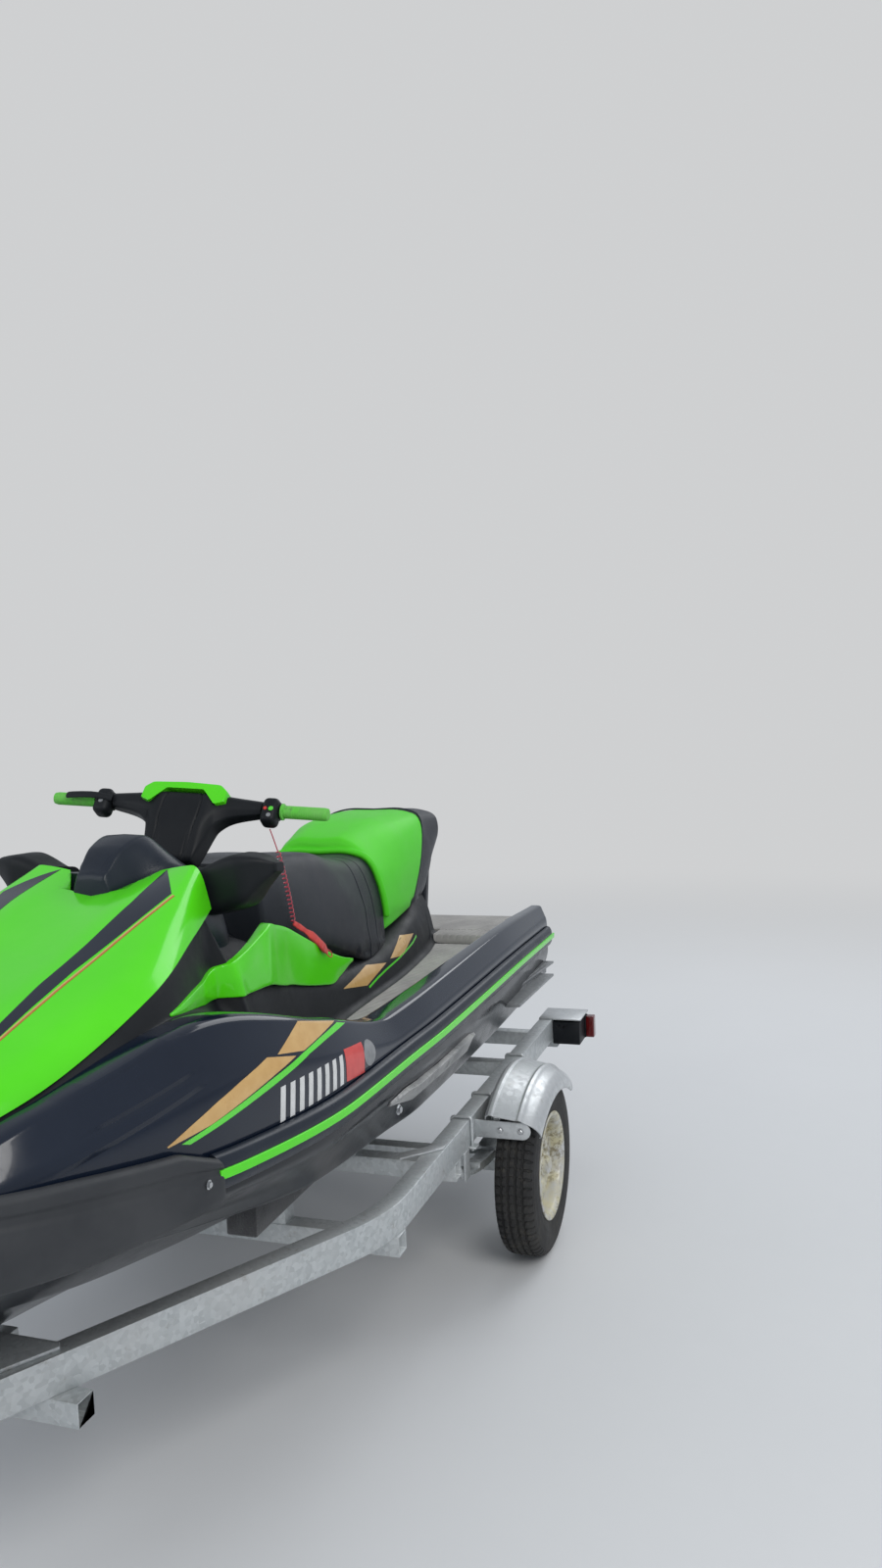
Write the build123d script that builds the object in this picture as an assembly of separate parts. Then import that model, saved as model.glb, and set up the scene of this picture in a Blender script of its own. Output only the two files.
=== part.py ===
from build123d import *
import math
import os

# Personal watercraft standing on its single-axle trailer.
# Units are millimetres. X points to the bow, Y to port, Z up, Z = 0 is the ground.
# Craft pieces are drawn with x from the stern and z from the keel, trailer pieces with
# x from the stern and z from the ground. Both are moved to the shared frame on export.

# Overall places
stern_x = -24.0
bow_x = 3095.0
coupler_nose_x = bow_x + 851.0
x_middle = (coupler_nose_x + stern_x) / 2
keel_height = 445.0
gap = 0.3
running_gap = 0.06
clear = 6.0

# Deck
platform_z = 402.0
platform_front_x = 420.0
footwell_z = 378.0
footwell_front_x = 2050.0
footwell_slope = 32.0
mat_thickness = 8.0
mat_border = 16.0
panel_thickness = 9.0

# Bumper rail along the gunwale with its stripe
rail_joint_x = 2480.0
rail_height = 74.0
rail_depth = 24.0
stripe_height = 20.0
stripe_depth = 4.0
guard_thickness = 30.0

# Engine bay, storage bin and pump tunnel
bay_x = (820.0, 1800.0)
bay_half_width = 205.0
bay_floor_z = 100.0
mouth_x = (620.0, 1480.0)
mouth_half_width = 118.0
engine_x = (1010.0, 1490.0)
engine_half_width = 150.0
engine_top_z = 400.0
bin_x = (2190.0, 2700.0)
bin_half_width = 190.0
bin_floor_z = 280.0
tunnel_front_x = 455.0
tunnel_half_width = 130.0
tunnel_top_z = 248.0
intake_front_x = 1000.0
intake_half_width = 78.0
hood_wall = 24.0

# Jet pump
pump_z = 125.0
pump_bore_r = 75.0
pump_wall = 11.0
pump_rear_x = 262.0
spigot_x = (150.0, 215.0)
spigot_r = 46.0
spigot_wall = 7.0
impeller_x = (300.0, 372.0)
impeller_hub_r = 30.0
impeller_blades = 4
blade_thickness = 6.0
stator_vanes = 6
shaft_r = 12.0
nozzle_x = (42.0, 172.0)
nozzle_ratio = 1.0
nozzle_pivot_x = 160.0
nozzle_exit_r = 43.0
nozzle_mouth_r = 66.0
nozzle_wall = 7.0
pin_r = 6.0
bucket_pivot_x = 120.0
bucket_r = 106.0
bucket_wall = 6.0
bucket_half_width = 101.0
bucket_arc = (65.0, 150.0)
ride_plate_x = (-20.0, 450.0)
ride_plate_thickness = 7.0

# Glove box
glove_x = (1652.0, 1790.0)
glove_half_width = 90.0
glove_depth = 120.0

# Seats
seat_depth = 120.0
seat_base_half = 118.0

grab_z = 500.0

# Steering: as it stands, the bar is turned a little to port
bar_x = 1698.0
bar_z = 1012.0
column_lean = 38.0
column_r = 20.0
column_length = 268.0
bar_turn = 7.6
bar_half_width = 382.0
bar_r = 11.0
grip_r = 16.5
grip_length = 126.0
switch_y = 232.0
clamp_half = 18.0
neck_top = 188.0

# Trailer
tyre_r = 265.0
tyre_width = 128.0
rim_r = 152.0
rim_width = 112.0
tyre_wall = 10.0
wheel_x = 957.0
wheel_y = 689.0
rail_tube = (50.0, 76.0)
tube_wall = 3.0
rail_y = 555.0
rail_drop = 21.0
rail_base_z = keel_height - rail_drop
rail_rear_x = 75.0
rail_bend_x = 1850.0
rail_front_x = 2830.0
rail_bend_r = 420.0
ball_x = coupler_nose_x - 66.0
tongue_x = (2500.0, ball_x - 80.0)
tongue_size = (70.0, 76.0)
cross_size = 50.0
cross_xs = (110.0, 480.0, 1360.0, 1800.0)
axle_size = 50.0
stub_r = 17.0
hub_r = 46.0
spring_half = 330.0
spring_sag = rail_base_z - tyre_r - axle_size / 2 - 72.0
spring_pack = 24.0
spring_width = 45.0
fender_top_z = rail_base_z + 144.0
fender_half = 250.0
fender_rise = 68.0
fender_y = (613.0, 772.0)
fender_wall = 3.0
fender_bracket_x = 232.0
fender_seat_drop = 23.5
light_box_depth = 102.0
bunk_x = (330.0, 1980.0)
bunk_y = (205.0, 285.0)
bunk_base_z = rail_base_z + 38.0
ball_r = 25.4
ball_clearance = 0.4
socket_length = 35.0
coupler_wall = 5.0
jack_x = tongue_x[1] - 320.0
jack_y = 132.0
jack_pivot_r = 20.0
jack_tube_r = 28.0
jack_inner_r = 24.5
jack_foot_r = 85.0
jack_top_z = rail_base_z + 296.0
post_x = bow_x + 193.0
post_half = 25.0
post_top_z = keel_height + 565.0
roller_z = keel_height + 472.0
roller_r = 24.0
roller_reach = 138.0

# Hull stations. Columns: x, keel z, chine half width, chine z, side half width, bond z
hull_table = [
    (0.0, 0.0, 482.0, 148.0, 525.0, 298.0),
    (700.0, 0.0, 490.0, 146.0, 552.0, 325.0),
    (1400.0, 0.0, 490.0, 156.0, 556.0, 328.0),
    (1650.0, 2.5, 480.0, 176.0, 551.0, 331.0),
    (2000.0, 6.0, 466.0, 204.0, 545.0, 335.0),
    (2400.0, 42.0, 390.0, 272.0, 495.0, 357.0),
    (2750.0, 122.0, 270.0, 340.0, 385.0, 405.0),
    (2980.0, 232.0, 160.0, 408.0, 250.0, 455.0),
    (bow_x, 350.0, 60.0, 466.0, 115.0, 510.0),
]

# Deck stations. Columns: x, outer crest half width, inner crest half width, crest z, centre z
deck_table = [
    (0.0, 502.0, 466.0, 449.0, 442.0),
    (700.0, 520.0, 474.0, 479.0, 452.0),
    (1400.0, 524.0, 464.0, 474.0, 460.0),
    (1650.0, 517.0, 454.0, 472.0, 464.0),
    (2000.0, 506.0, 436.0, 560.0, 530.0),
    (2400.0, 438.0, 366.0, 662.0, 610.0),
    (2750.0, 330.0, 282.0, 600.0, 560.0),
    (2980.0, 205.0, 165.0, 540.0, 512.0),
    (bow_x, 92.0, 60.0, 536.0, 518.0),
]

# Raised middle of the deck. Columns: x, floor half width, shoulder half width, shoulder z, top half width, top z
pedestal_table = [
    (330.0, 178.0, 160.0, 500.0, 130.0, 560.0),
    (600.0, 226.0, 206.0, 500.0, 152.0, 540.0),
    (1000.0, 262.0, 240.0, 462.0, 160.0, 498.0),
    (1300.0, 268.0, 240.0, 478.0, 158.0, 506.0),
    (1560.0, 284.0, 240.0, 545.0, 155.0, 590.0),
    (1820.0, 318.0, 262.0, 640.0, 180.0, 700.0),
    (2030.0, 356.0, 288.0, 684.0, 200.0, 732.0),
]

# Hood. Columns: x, edge half width, edge z, corner half width, corner z, crease half width, crease z, centre z
hood_table = [
    (2035.0, 250.0, 806.0, 226.0, 910.0, 132.0, 898.0, 868.0),
    (2180.0, 292.0, 776.0, 262.0, 846.0, 136.0, 862.0, 842.0),
    (2420.0, 340.0, 713.0, 300.0, 750.0, 132.0, 776.0, 770.0),
    (2680.0, 300.0, 622.0, 262.0, 662.0, 112.0, 690.0, 696.0),
    (2900.0, 206.0, 568.0, 170.0, 594.0, 76.0, 612.0, 618.0),
    (3040.0, 104.0, 546.0, 80.0, 560.0, 34.0, 568.0, 571.0),
]

# Instrument dome. Columns: x, base half width, shoulder half width, shoulder z, top half width, top z
dome_table = [
    (1900.0, 165.0, 150.0, 868.0, 80.0, 890.0),
    (1990.0, 150.0, 128.0, 900.0, 55.0, 972.0),
    (2060.0, 98.0, 78.0, 885.0, 46.0, 955.0),
    (2118.0, 58.0, 50.0, 872.0, 38.0, 905.0),
]

# Front seat. Columns: x, skirt half width, skirt z, side half width, side z, shoulder half width, shoulder z, top z
seat_front_table = [
    (850.0, 205.0, 500.0, 205.0, 640.0, 170.0, 756.0, 784.0),
    (1050.0, 226.0, 478.0, 216.0, 650.0, 178.0, 775.0, 792.0),
    (1180.0, 230.0, 515.0, 214.0, 680.0, 178.0, 800.0, 812.0),
    (1330.0, 226.0, 575.0, 206.0, 720.0, 170.0, 842.0, 846.0),
    (1530.0, 205.0, 640.0, 188.0, 760.0, 150.0, 854.0, 862.0),
    (1630.0, 170.0, 690.0, 156.0, 790.0, 118.0, 848.0, 856.0),
]

# Rear seat, same columns
seat_rear_table = [
    (285.0, 168.0, 700.0, 198.0, 780.0, 188.0, 846.0, 868.0),
    (480.0, 184.0, 575.0, 206.0, 700.0, 192.0, 856.0, 882.0),
    (700.0, 198.0, 548.0, 208.0, 715.0, 182.0, 846.0, 878.0),
    (860.0, 205.0, 535.0, 203.0, 706.0, 162.0, 806.0, 854.0),
    (960.0, 202.0, 530.0, 197.0, 692.0, 152.0, 776.0, 828.0),
]

# The rear seat's front face leans over the front seat along this line of (x, z)
seat_split = ((905.0, 533.0), (942.0, 900.0))

# Side panels on the raised middle. Columns: x, lower edge z, share of the way up to the shoulder
panel_table = [
    (1230.0, 432.0, 0.97),
    (1300.0, 449.0, 0.99),
    (1430.0, 483.0, 0.99),
    (1560.0, 515.0, 0.99),
    (1820.0, 575.0, 0.99),
    (2020.0, 600.0, 0.99),
]

# The panels' front ends on the side under the hood. Columns: x, lower edge z, upper edge z
panel_front_table = [
    (2100.0, 612.0, 722.0),
    (2240.0, 625.0, 641.0),
]

# Bow guard. Columns: x, how far it comes down below the hull's bond line, how far it stands above the rail's height
guard_table = [
    (rail_joint_x + 2, 0.0, -8.0),
    (2560.0, 8.0, 18.0),
    (2750.0, 34.0, 16.0),
    (2980.0, 54.0, 8.0),
    (bow_x, 0.0, 0.0),
]

# Lanyard from the kill switch: lead, curly stretch and float strap, which lies on the front seat's side
lanyard_start = (-10.0, 232.0, -44.0)
lanyard_points = ((1684.0, 242.0, 895.0), (1608.0, 229.0, 778.0), (1549.0, 208.6, 680.2))
strap_ends = ((1546.0, 209.0, 678.0), (1410.0, 229.5, 580.0))
strap_size = (24.0, 10.0)
coil_r = 7.0
lead_r = 1.5


def between(table, x, column):
    """Value of a column at x, straight between two rows."""
    for a, b in zip(table, table[1:]):
        if x <= b[0]:
            return a[column] + (x - a[0]) / (b[0] - a[0]) * (b[column] - a[column])
    return table[-1][column]


def ring(x, half):
    """Closed section at x from its port half, listed from the bottom centre to the top centre."""
    mirrored = [(-y, z) for y, z in reversed(half) if y > 1e-6]
    return Wire.make_polygon([Vector(x, y, z) for y, z in half + mirrored], close=True)


def loft_half(table, section):
    """Body through the rows of a table, each turned into half a section."""
    return Solid.make_loft([ring(row[0], section(*row[1:])) for row in table], True)


def loft_side(rows):
    """Body through sections that stand on one side: rows are x, [(y, z), ...]."""
    wires = [Wire.make_polygon([Vector(x, y, z) for y, z in pts], close=True) for x, pts in rows]
    return Solid.make_loft(wires, True)


def loft_across(rows):
    """Body through upright sections across the craft: rows are y, [(x, z), ...]."""
    wires = [Wire.make_polygon([Vector(x, y, z) for x, z in pts], close=True) for y, pts in rows]
    return Solid.make_loft(wires, True)


def block(x, y, z):
    """Box between the pairs x, y and z."""
    size = [b - a for a, b in (x, y, z)]
    middle = [(a + b) / 2 for a, b in (x, y, z)]
    return Pos(*middle) * Box(*size)


def rod(p, q, r):
    """Round bar from p to q."""
    p, q = Vector(*p), Vector(*q)
    axis = q - p
    return Solid.make_cylinder(r, axis.length, Plane(origin=p, z_dir=axis.normalized()))


def side_prism(points, y0, y1):
    """Outline in x, z pulled from y0 to y1."""
    face = Face(Wire.make_polygon([Vector(x, y0, z) for x, z in points], close=True))
    return Solid.extrude(face, Vector(0, y1 - y0, 0))


def plan_prism(points, z0, z1):
    """Outline in x, y pulled from z0 to z1."""
    face = Face(Wire.make_polygon([Vector(x, y, z0) for x, y in points], close=True))
    return Solid.extrude(face, Vector(0, 0, z1 - z0))


def end_prism(points, x0, x1):
    """Outline in y, z pulled from x0 to x1."""
    face = Face(Wire.make_polygon([Vector(x0, y, z) for y, z in points], close=True))
    return Solid.extrude(face, Vector(x1 - x0, 0, 0))


def turned(points, axis="x", at=(0.0, 0.0, 0.0)):
    """Outline of (place along the axis, radius) turned about a line through at."""
    if axis == "x":
        face = Face(Wire.make_polygon([Vector(a, 0, r) for a, r in points], close=True))
        return Pos(*at) * Solid.revolve(face, 360, Axis.X)
    if axis == "y":
        face = Face(Wire.make_polygon([Vector(0, a, r) for a, r in points], close=True))
        return Pos(*at) * Solid.revolve(face, 360, Axis.Y)
    face = Face(Wire.make_polygon([Vector(r, 0, a) for a, r in points], close=True))
    return Pos(*at) * Solid.revolve(face, 360, Axis.Z)


def pair(shape):
    """The piece and its mirror image across the centre plane."""
    return [shape, shape.mirror(Plane.XZ)]


def cut_near(shape, *cores, step=gap):
    """What is left of the shape outside the cores, with the small seating gap all round."""
    for core in cores:
        for move in ((step, 0, 0), (-step, 0, 0), (0, step, 0), (0, -step, 0), (0, 0, step), (0, 0, -step)):
            shape = shape - core.moved(Location(move))
    return shape


# Craft
def hull_section(keel, chine_y, chine_z, side_y, bond_z):
    rise = chine_z - keel
    return [
        (0.0, keel),
        (0.50 * chine_y, keel + 0.46 * rise),
        (0.55 * chine_y, keel + 0.455 * rise),
        (0.93 * chine_y, keel + 0.90 * rise),
        (chine_y, keel + 0.90 * rise),
        (chine_y + 0.35 * (side_y - chine_y), chine_z + 0.22 * (bond_z - chine_z)),
        (side_y, bond_z - 0.25 * (bond_z - chine_z)),
        (side_y, bond_z),
        (0.0, bond_z),
    ]


def hull_core():
    return loft_half(hull_table, hull_section)


def make_hull():
    hull = hull_core()
    hull -= block(bay_x, (-bay_half_width, bay_half_width), (bay_floor_z, 600))
    hull -= block(bin_x, (-bin_half_width, bin_half_width), (bin_floor_z, 600))
    hull -= block((-60, tunnel_front_x), (-tunnel_half_width, tunnel_half_width), (-60, tunnel_top_z))
    roof = [(tunnel_front_x - 5, -60), (intake_front_x, -60), (intake_front_x, 14), (tunnel_front_x - 5, 205)]
    hull -= side_prism(roof, -intake_half_width, intake_half_width)
    return hull - rod((tunnel_front_x, 0, pump_z), (bay_x[0] + 20, 0, pump_z), shaft_r + clear)


def deck_section(bond_y, bond_z, out_y, in_y, crest_z, centre_z):
    rise = crest_z - bond_z
    return [
        (0.0, bond_z),
        (bond_y, bond_z),
        (bond_y, bond_z + 0.62 * rise),
        (out_y + 0.30 * (bond_y - out_y), bond_z + 0.88 * rise),
        (out_y, crest_z),
        (in_y, crest_z),
        (0.0, centre_z),
    ]


def deck_core():
    rows = [(h[0], h[4], h[5]) + d[1:] for h, d in zip(hull_table, deck_table)]
    return loft_half(rows, deck_section)


def pedestal_section(floor_y, shoulder_y, shoulder_z, top_y, top_z):
    base = footwell_z - 4
    return [(0.0, base), (floor_y, base), (shoulder_y, shoulder_z), (top_y, top_z), (0.0, top_z)]


def pedestal_core():
    return loft_half(pedestal_table, pedestal_section)


def hood_section(edge_y, edge_z, corner_y, corner_z, crease_y, crease_z, centre_z):
    return [(0.0, edge_z), (edge_y, edge_z), (corner_y, corner_z), (crease_y, crease_z), (0.0, centre_z)]


def hood_core():
    return loft_half(hood_table, hood_section)


def footwell_half(x):
    return between(deck_table, max(x, 0.0), 2)


def well_section(inner, floor):
    top = 900.0
    return [(0, floor), (inner - footwell_slope, floor), (inner - 3, floor + 66), (inner + 4, top), (0, top)]


def coaming_side(x, z):
    """Half width of the coaming under the hood at x and height z."""
    y, top = between(hood_table, x, 1) - 8, between(hood_table, x, 2) - gap
    base = between(hull_table, x, 5) + 8
    return y + 14 * (top - z) / (top - base)


def coaming_core():
    rows = [(row[0], row[2] - gap, between(hull_table, row[0], 5) + 8) for row in hood_table]
    wires = [
        ring(x, [(0, base), (coaming_side(x, base), base), (coaming_side(x, z), z), (0, z)]) for x, z, base in rows
    ]
    return Solid.make_loft(wires, True)


def make_deck(pedestal):
    """Deck with its coaming under the hood, footwells, stern platform, raised middle and hatches."""
    deck = deck_core() + coaming_core()
    well_xs = tuple(row[0] for row in hull_table if platform_front_x < row[0] < footwell_front_x)
    for xs, floor in (
        ((-60.0, 0.0, platform_front_x), platform_z),
        ((platform_front_x - 30,) + well_xs + (footwell_front_x,), footwell_z),
    ):
        start = xs[0]
        wires = []
        for x in xs:
            inner = footwell_half(x)
            if floor == footwell_z and x == start:
                inner -= 10
            wires.append(ring(x, well_section(inner, floor)))
        deck -= Solid.make_loft(wires, True)
    deck += pedestal
    deck -= block(bay_x, (-bay_half_width, bay_half_width), (200, 425))
    deck -= block((mouth_x[0], bay_x[1]), (-mouth_half_width, mouth_half_width), (424, 450))
    deck -= block(mouth_x, (-mouth_half_width, mouth_half_width), (449, 900))
    return deck - block(bin_x, (-bin_half_width, bin_half_width), (200, 900))


def dome_notch():
    """Room in the hood's rear edge for the instrument dome."""
    half = [(x, base + clear) for x, base, *_ in dome_table[1:]]
    half.append((half[-1][0] + clear, half[-1][1] - 2))
    return plan_prism(half + [(x, -y) for x, y in reversed(half)], 500, 1000)


def make_hood():
    """Shell of one wall thickness over the bin, closed at its front and rear ends."""
    w = hood_wall
    inner = [
        (x, ey - w, ez, cy - w, cz - w, ky - 6, kz - w, tz - w)
        for x, ey, ez, cy, cz, ky, kz, tz in hood_table
    ]
    inner[0] = (inner[0][0] + w,) + tuple(between(inner, inner[0][0] + w, c) for c in range(1, 8))
    end_x = 2940.0
    inner = [row for row in inner if row[0] < end_x] + [
        (end_x,) + tuple(between(inner, end_x, c) for c in range(1, 8))
    ]
    room = loft_half(
        inner, lambda ey, ez, cy, cz, ky, kz, tz: [(0, ez - 60), (ey, ez - 60), (cy, cz), (ky, kz), (0, tz)]
    )
    return hood_core() - room - dome_notch()


def seat_section(skirt_y, skirt_z, side_y, side_z, shoulder_y, shoulder_z, top_z):
    deep = max(skirt_z - seat_depth, footwell_z + 52)
    return [
        (0.0, deep),
        (seat_base_half, deep),
        (skirt_y, skirt_z),
        (side_y, side_z),
        (shoulder_y, shoulder_z),
        (0.55 * shoulder_y, top_z),
        (0.0, top_z - 4),
    ]


def make_seats(pedestal):
    (x0, z0), (x1, z1) = seat_split
    run, rise = x1 - x0, z1 - z0
    far = 600.0
    length = math.hypot(run, rise)
    nx, nz = -rise / length, run / length
    low = (x0 - run, z0 - rise)
    high = (x1 + run, z1 + rise)

    def wedge(side, shift):
        a = (low[0] + nx * shift, low[1] + nz * shift)
        b = (high[0] + nx * shift, high[1] + nz * shift)
        back = [(x + nx * far * side, z + nz * far * side) for x, z in (b, a)]
        return side_prism([a, b] + back, -400, 400)

    front = loft_half(seat_front_table, seat_section) - wedge(1, 0.0)
    rear = loft_half(seat_rear_table, seat_section) - wedge(-1, gap)
    seat = pedestal.moved(Location((0, 0, gap)))
    return front - seat, rear - seat


def rail_half(side, low, out):
    high = low + rail_height
    return [
        (side + gap, low),
        (side + 0.7 * out, low + 3),
        (side + out, low + 18),
        (side + out, high - 22),
        (side + 0.75 * out, high - 6),
        (side + gap, high),
    ]


def rail_rows(xs, section):
    """Sections along the gunwale at each x, between the hull's own stations."""
    rows = []
    for x in xs:
        side, low = between(hull_table, x, 4), between(hull_table, x, 5)
        rows.append((x, section(side, low)))
    return rows


rail_xs = tuple(row[0] for row in hull_table if row[0] < rail_joint_x) + (rail_joint_x,)


def make_rub_rails():
    """Bumper rail and its coloured insert on each side."""
    rail = loft_side(rail_rows(rail_xs, lambda side, low: rail_half(side, low, rail_depth)))

    def strip(side, low):
        z0 = low + 18 + (rail_height - 40 - stripe_height) / 2
        out = side + rail_depth
        far = out + stripe_depth
        return [(out, z0), (far, z0 + 2), (far, z0 + stripe_height - 2), (out, z0 + stripe_height)]

    stripe = loft_side(rail_rows(rail_xs, strip))
    return pair(rail), pair(stripe)


def make_stern_pads():
    """Corner bumpers of the stern, up against the deck's rear face."""
    low = hull_table[0][5]
    y = hull_table[0][4]
    plan = [(-gap, y - 100), (-gap, y + rail_depth), (-16, y + rail_depth - 6), (stern_x, y - 12), (stern_x, y - 100)]
    return pair(plan_prism(plan, low + 6, low + rail_height))


def make_bow_guard():
    """Matt bumper that wraps the bow and ends just ahead of the stripe."""
    rows = []
    first = guard_table[0][0]
    for x, drop, rise in guard_table:
        side, low = between(hull_table, x, 4), between(hull_table, x, 5)
        out = guard_thickness + (x - first) * 0.012
        near = side + 2 * gap
        outer = [(side + 0.8 * out, low - 22 - drop), (side + out, low + 20), (side + 0.9 * out, low + 66 + rise)]
        rows.append((x, [(near, low - 26 - drop)] + outer + [(near, low + rail_height + rise)]))
    arm = loft_side(rows)
    side, low = hull_table[-1][4], hull_table[-1][5]
    front = hull_table[-1][0]
    out = guard_thickness + (front - first) * 0.012
    corner, mid, tip_x = (front + 16, side + 20), (front + 32, side * 0.55), front + 35
    half = [(front + gap, side + 8), corner, mid]
    nose = plan_prism(half + [(tip_x, 0)] + [(x, -y) for x, y in reversed(half)], low - 24, low + 72)
    seat = (front + gap, side + 4)
    link = plan_prism([(front - 1, side + 4), (front - 1, side + out), corner, half[0], seat], low - 22, low + 66)
    both = pair(arm) + pair(link)
    guard = nose
    for piece in both:
        guard = guard + piece
    return guard


def make_mats(pedestal):
    """Textured mats on the platform and in the footwells."""
    inset = footwell_slope + mat_border
    a, b = (18, footwell_half(0) - inset), (platform_front_x - 16, footwell_half(400) - inset)
    rear = plan_prism([(a[0], -a[1]), (b[0], -b[1]), b, a], platform_z, platform_z + mat_thickness)
    rear = rear - cut_block(pedestal, 330, 600)
    x0, x1 = platform_front_x + 20, 1900.0
    plan = [(x0, 232), (1000, 280), (x1, 355), (x1, footwell_half(x1) - inset), (x0, footwell_half(x0) - inset)]
    side = plan_prism(plan, footwell_z, footwell_z + mat_thickness)
    return [rear] + pair(side)


def cut_block(core, x0, x1):
    """The core widened by the mat's border, to leave a bare edge round it."""
    y = between(pedestal_table, x1, 1) + mat_border
    return block((x0 - mat_border, x1), (-y, y), (platform_z - 5, platform_z + 60))


def make_side_panels():
    """Rows of the coloured panels on the sides of the raised middle, from under the hood back to the seat."""
    rows = []
    n = panel_thickness
    base = footwell_z - 4
    for x, low_z, high_t in panel_table:
        floor_y, y, z = (between(pedestal_table, x, c) for c in (1, 2, 3))
        low_t = (low_z - base) / (z - base)
        low_y, top_y = floor_y + (y - floor_y) * low_t, floor_y + (y - floor_y) * high_t
        top_z = base + (z - base) * high_t
        near = (low_y - 1, top_y - 1) if x < panel_table[-1][0] else (coaming_side(x, low_z) - 4,) * 2
        rows.append((x, [(near[0], low_z), (low_y + n, low_z + 3), (top_y + n, top_z - 2), (near[1], top_z)]))
    for x, low_z, top_z in panel_front_table:
        low_y, top_y = coaming_side(x, low_z), coaming_side(x, top_z)
        rows.append((x, [(low_y - 4, low_z), (low_y + n, low_z + 3), (top_y + n, top_z - 3), (top_y - 4, top_z)]))
    return rows


def make_cowl(pedestal):
    """Instrument cowl between the hood and the steering, with the column's neck."""
    rows = [
        (1800.0, 150.0, 690.0, 120.0, 770.0, 60.0, 790.0),
        (1900.0, 205.0, 730.0, 180.0, 846.0, 90.0, 876.0),
        (2030.0, 224.0, 800.0, 206.0, 896.0, 120.0, 888.0),
    ]
    body = loft_half(
        rows, lambda ey, ez, cy, cz, ky, kz: [(0, 600), (ey + 12, 600), (ey, ez), (cy, cz), (ky, kz), (0, kz - 6)]
    )
    body = body - pedestal.moved(Location((0, 0, gap)))
    hood_rear, hood_edge_z = hood_table[0][0] - gap, hood_table[0][2]
    body = body - block((hood_rear, hood_rear + 200), (-400, 400), (500, 1000))
    dome = loft_half(dome_table, lambda by, sy, sz, ty, tz: [(0, 700), (by, 700), (sy, sz), (ty, tz), (0, tz)])
    dome = dome - pedestal.moved(Location((0, 0, gap)))
    body = body + (dome - block((hood_rear, hood_rear + 200), (-400, 400), (500, hood_edge_z)))
    neck = column_piece(-column_length - 40, -neck_top, 44)
    body = body + (neck - pedestal.moved(Location((0, 0, gap))))
    return body - column_piece(-column_length - gap, 50, column_r + running_gap)


def column_point(s):
    a = math.radians(column_lean)
    return (bar_x - s * math.sin(a), 0.0, bar_z + s * math.cos(a))


def column_piece(s0, s1, r):
    """Round piece on the steering axis from s0 to s1, measured up the column from the bar."""
    return rod(column_point(s0), column_point(s1), r)


def steering_turn(shape):
    """Turns a piece from straight ahead to the way the bar stands."""
    a = math.radians(column_lean)
    axis = Axis(column_point(0), (-math.sin(a), 0, math.cos(a)))
    return shape.rotate(axis, bar_turn)


def bar_frame(shape):
    """Moves a piece drawn at the bar's middle, with its own z up the column, to its place."""
    return Pos(bar_x, 0, bar_z) * Rot(0, -column_lean, 0) * shape


def make_handlebar():
    bar = rod((0, -bar_half_width + 6, 0), (0, bar_half_width - 6, 0), bar_r)
    clamp = block((-24, 24), (-42, 42), (-clamp_half, clamp_half))
    stem = rod((0, 0, -column_length), (0, 0, 0), column_r)
    return bar_frame(bar + clamp + stem)


def cover_core():
    """Outer form of the cover round the bar, widest at the middle and swept out to the switches."""
    arm = [(62.0, 44.0, -172.0, 26.0), (95.0, 36.0, -66.0, 26.0), (130.0, 30.0, -38.0, 24.0), (206.0, 20.0, -19.0, 20.0)]
    wires = []
    for y, half, low, high in [(-row[0],) + row[1:] for row in reversed(arm)] + arm:
        pts = [(half, 0.4 * low), (half, 0.5 * high), (0.6 * half, high)]
        pts = [(0.6 * half, low)] + pts + [(-x, z) for x, z in reversed(pts)] + [(-0.6 * half, low)]
        wires.append(Wire.make_polygon([Vector(x, y, z) for x, z in pts], close=True))
    return Solid.make_loft(wires, True)


def make_bar_cover():
    """Moulded cover, hollowed for the bar, its clamp and the column."""
    cover = cover_core()
    cover -= rod((0, -300, 0), (0, 300, 0), bar_r + gap)
    h = clamp_half + gap
    cover -= block((-24 - gap, 24 + gap), (-42 - gap, 42 + gap), (-h, h))
    cover -= rod((0, 0, -column_length), (0, 0, 0), column_r + gap)
    return bar_frame(cover)


def make_bar_pad():
    """Arched pad on top of the cover."""
    low = 26 + gap
    half = [(0, low), (52, low), (66, 12), (92, -16), (116, -6), (114, 26), (94, 42), (0, 45)]
    mirrored = [(-y, z) for y, z in reversed(half) if y > 0]
    pad = cut_near(end_prism(half + mirrored, -44, 50), cover_core())
    return bar_frame(max(pad.solids(), key=lambda s: s.volume))


def make_grips():
    made = []
    for side in (1, -1):
        y0, y1 = bar_half_width - grip_length, bar_half_width
        outer = rod((0, side * y0, 0), (0, side * y1, 0), grip_r)
        collar = rod((0, side * y0, 0), (0, side * (y0 + 6), 0), grip_r + 5)
        hole = rod((0, side * (y0 - 5), 0), (0, side * (y1 - 6 + gap), 0), bar_r + gap / 2)
        made.append(bar_frame(outer + collar - hole))
    return made


def make_controls():
    """Switch housing at the port grip, throttle housing with its finger lever at the other."""
    made = []
    for side in (1, -1):
        y0, y1 = side * (switch_y - 22), side * (switch_y + 22)
        body = rod((0, y0, 0), (0, y1, 0), 24)
        lobe = block((-14, 30), sorted((y0, y1)), (-44, 0))
        piece = body + lobe
        if side < 0:
            lever = block((26, 38), (-330, y1 + 20), (-12, 4))
            piece = piece + lever
        piece = piece - rod((0, side * 150, 0), (0, side * 300, 0), bar_r + gap / 2)
        made.append(bar_frame(piece))
    return made


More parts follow.
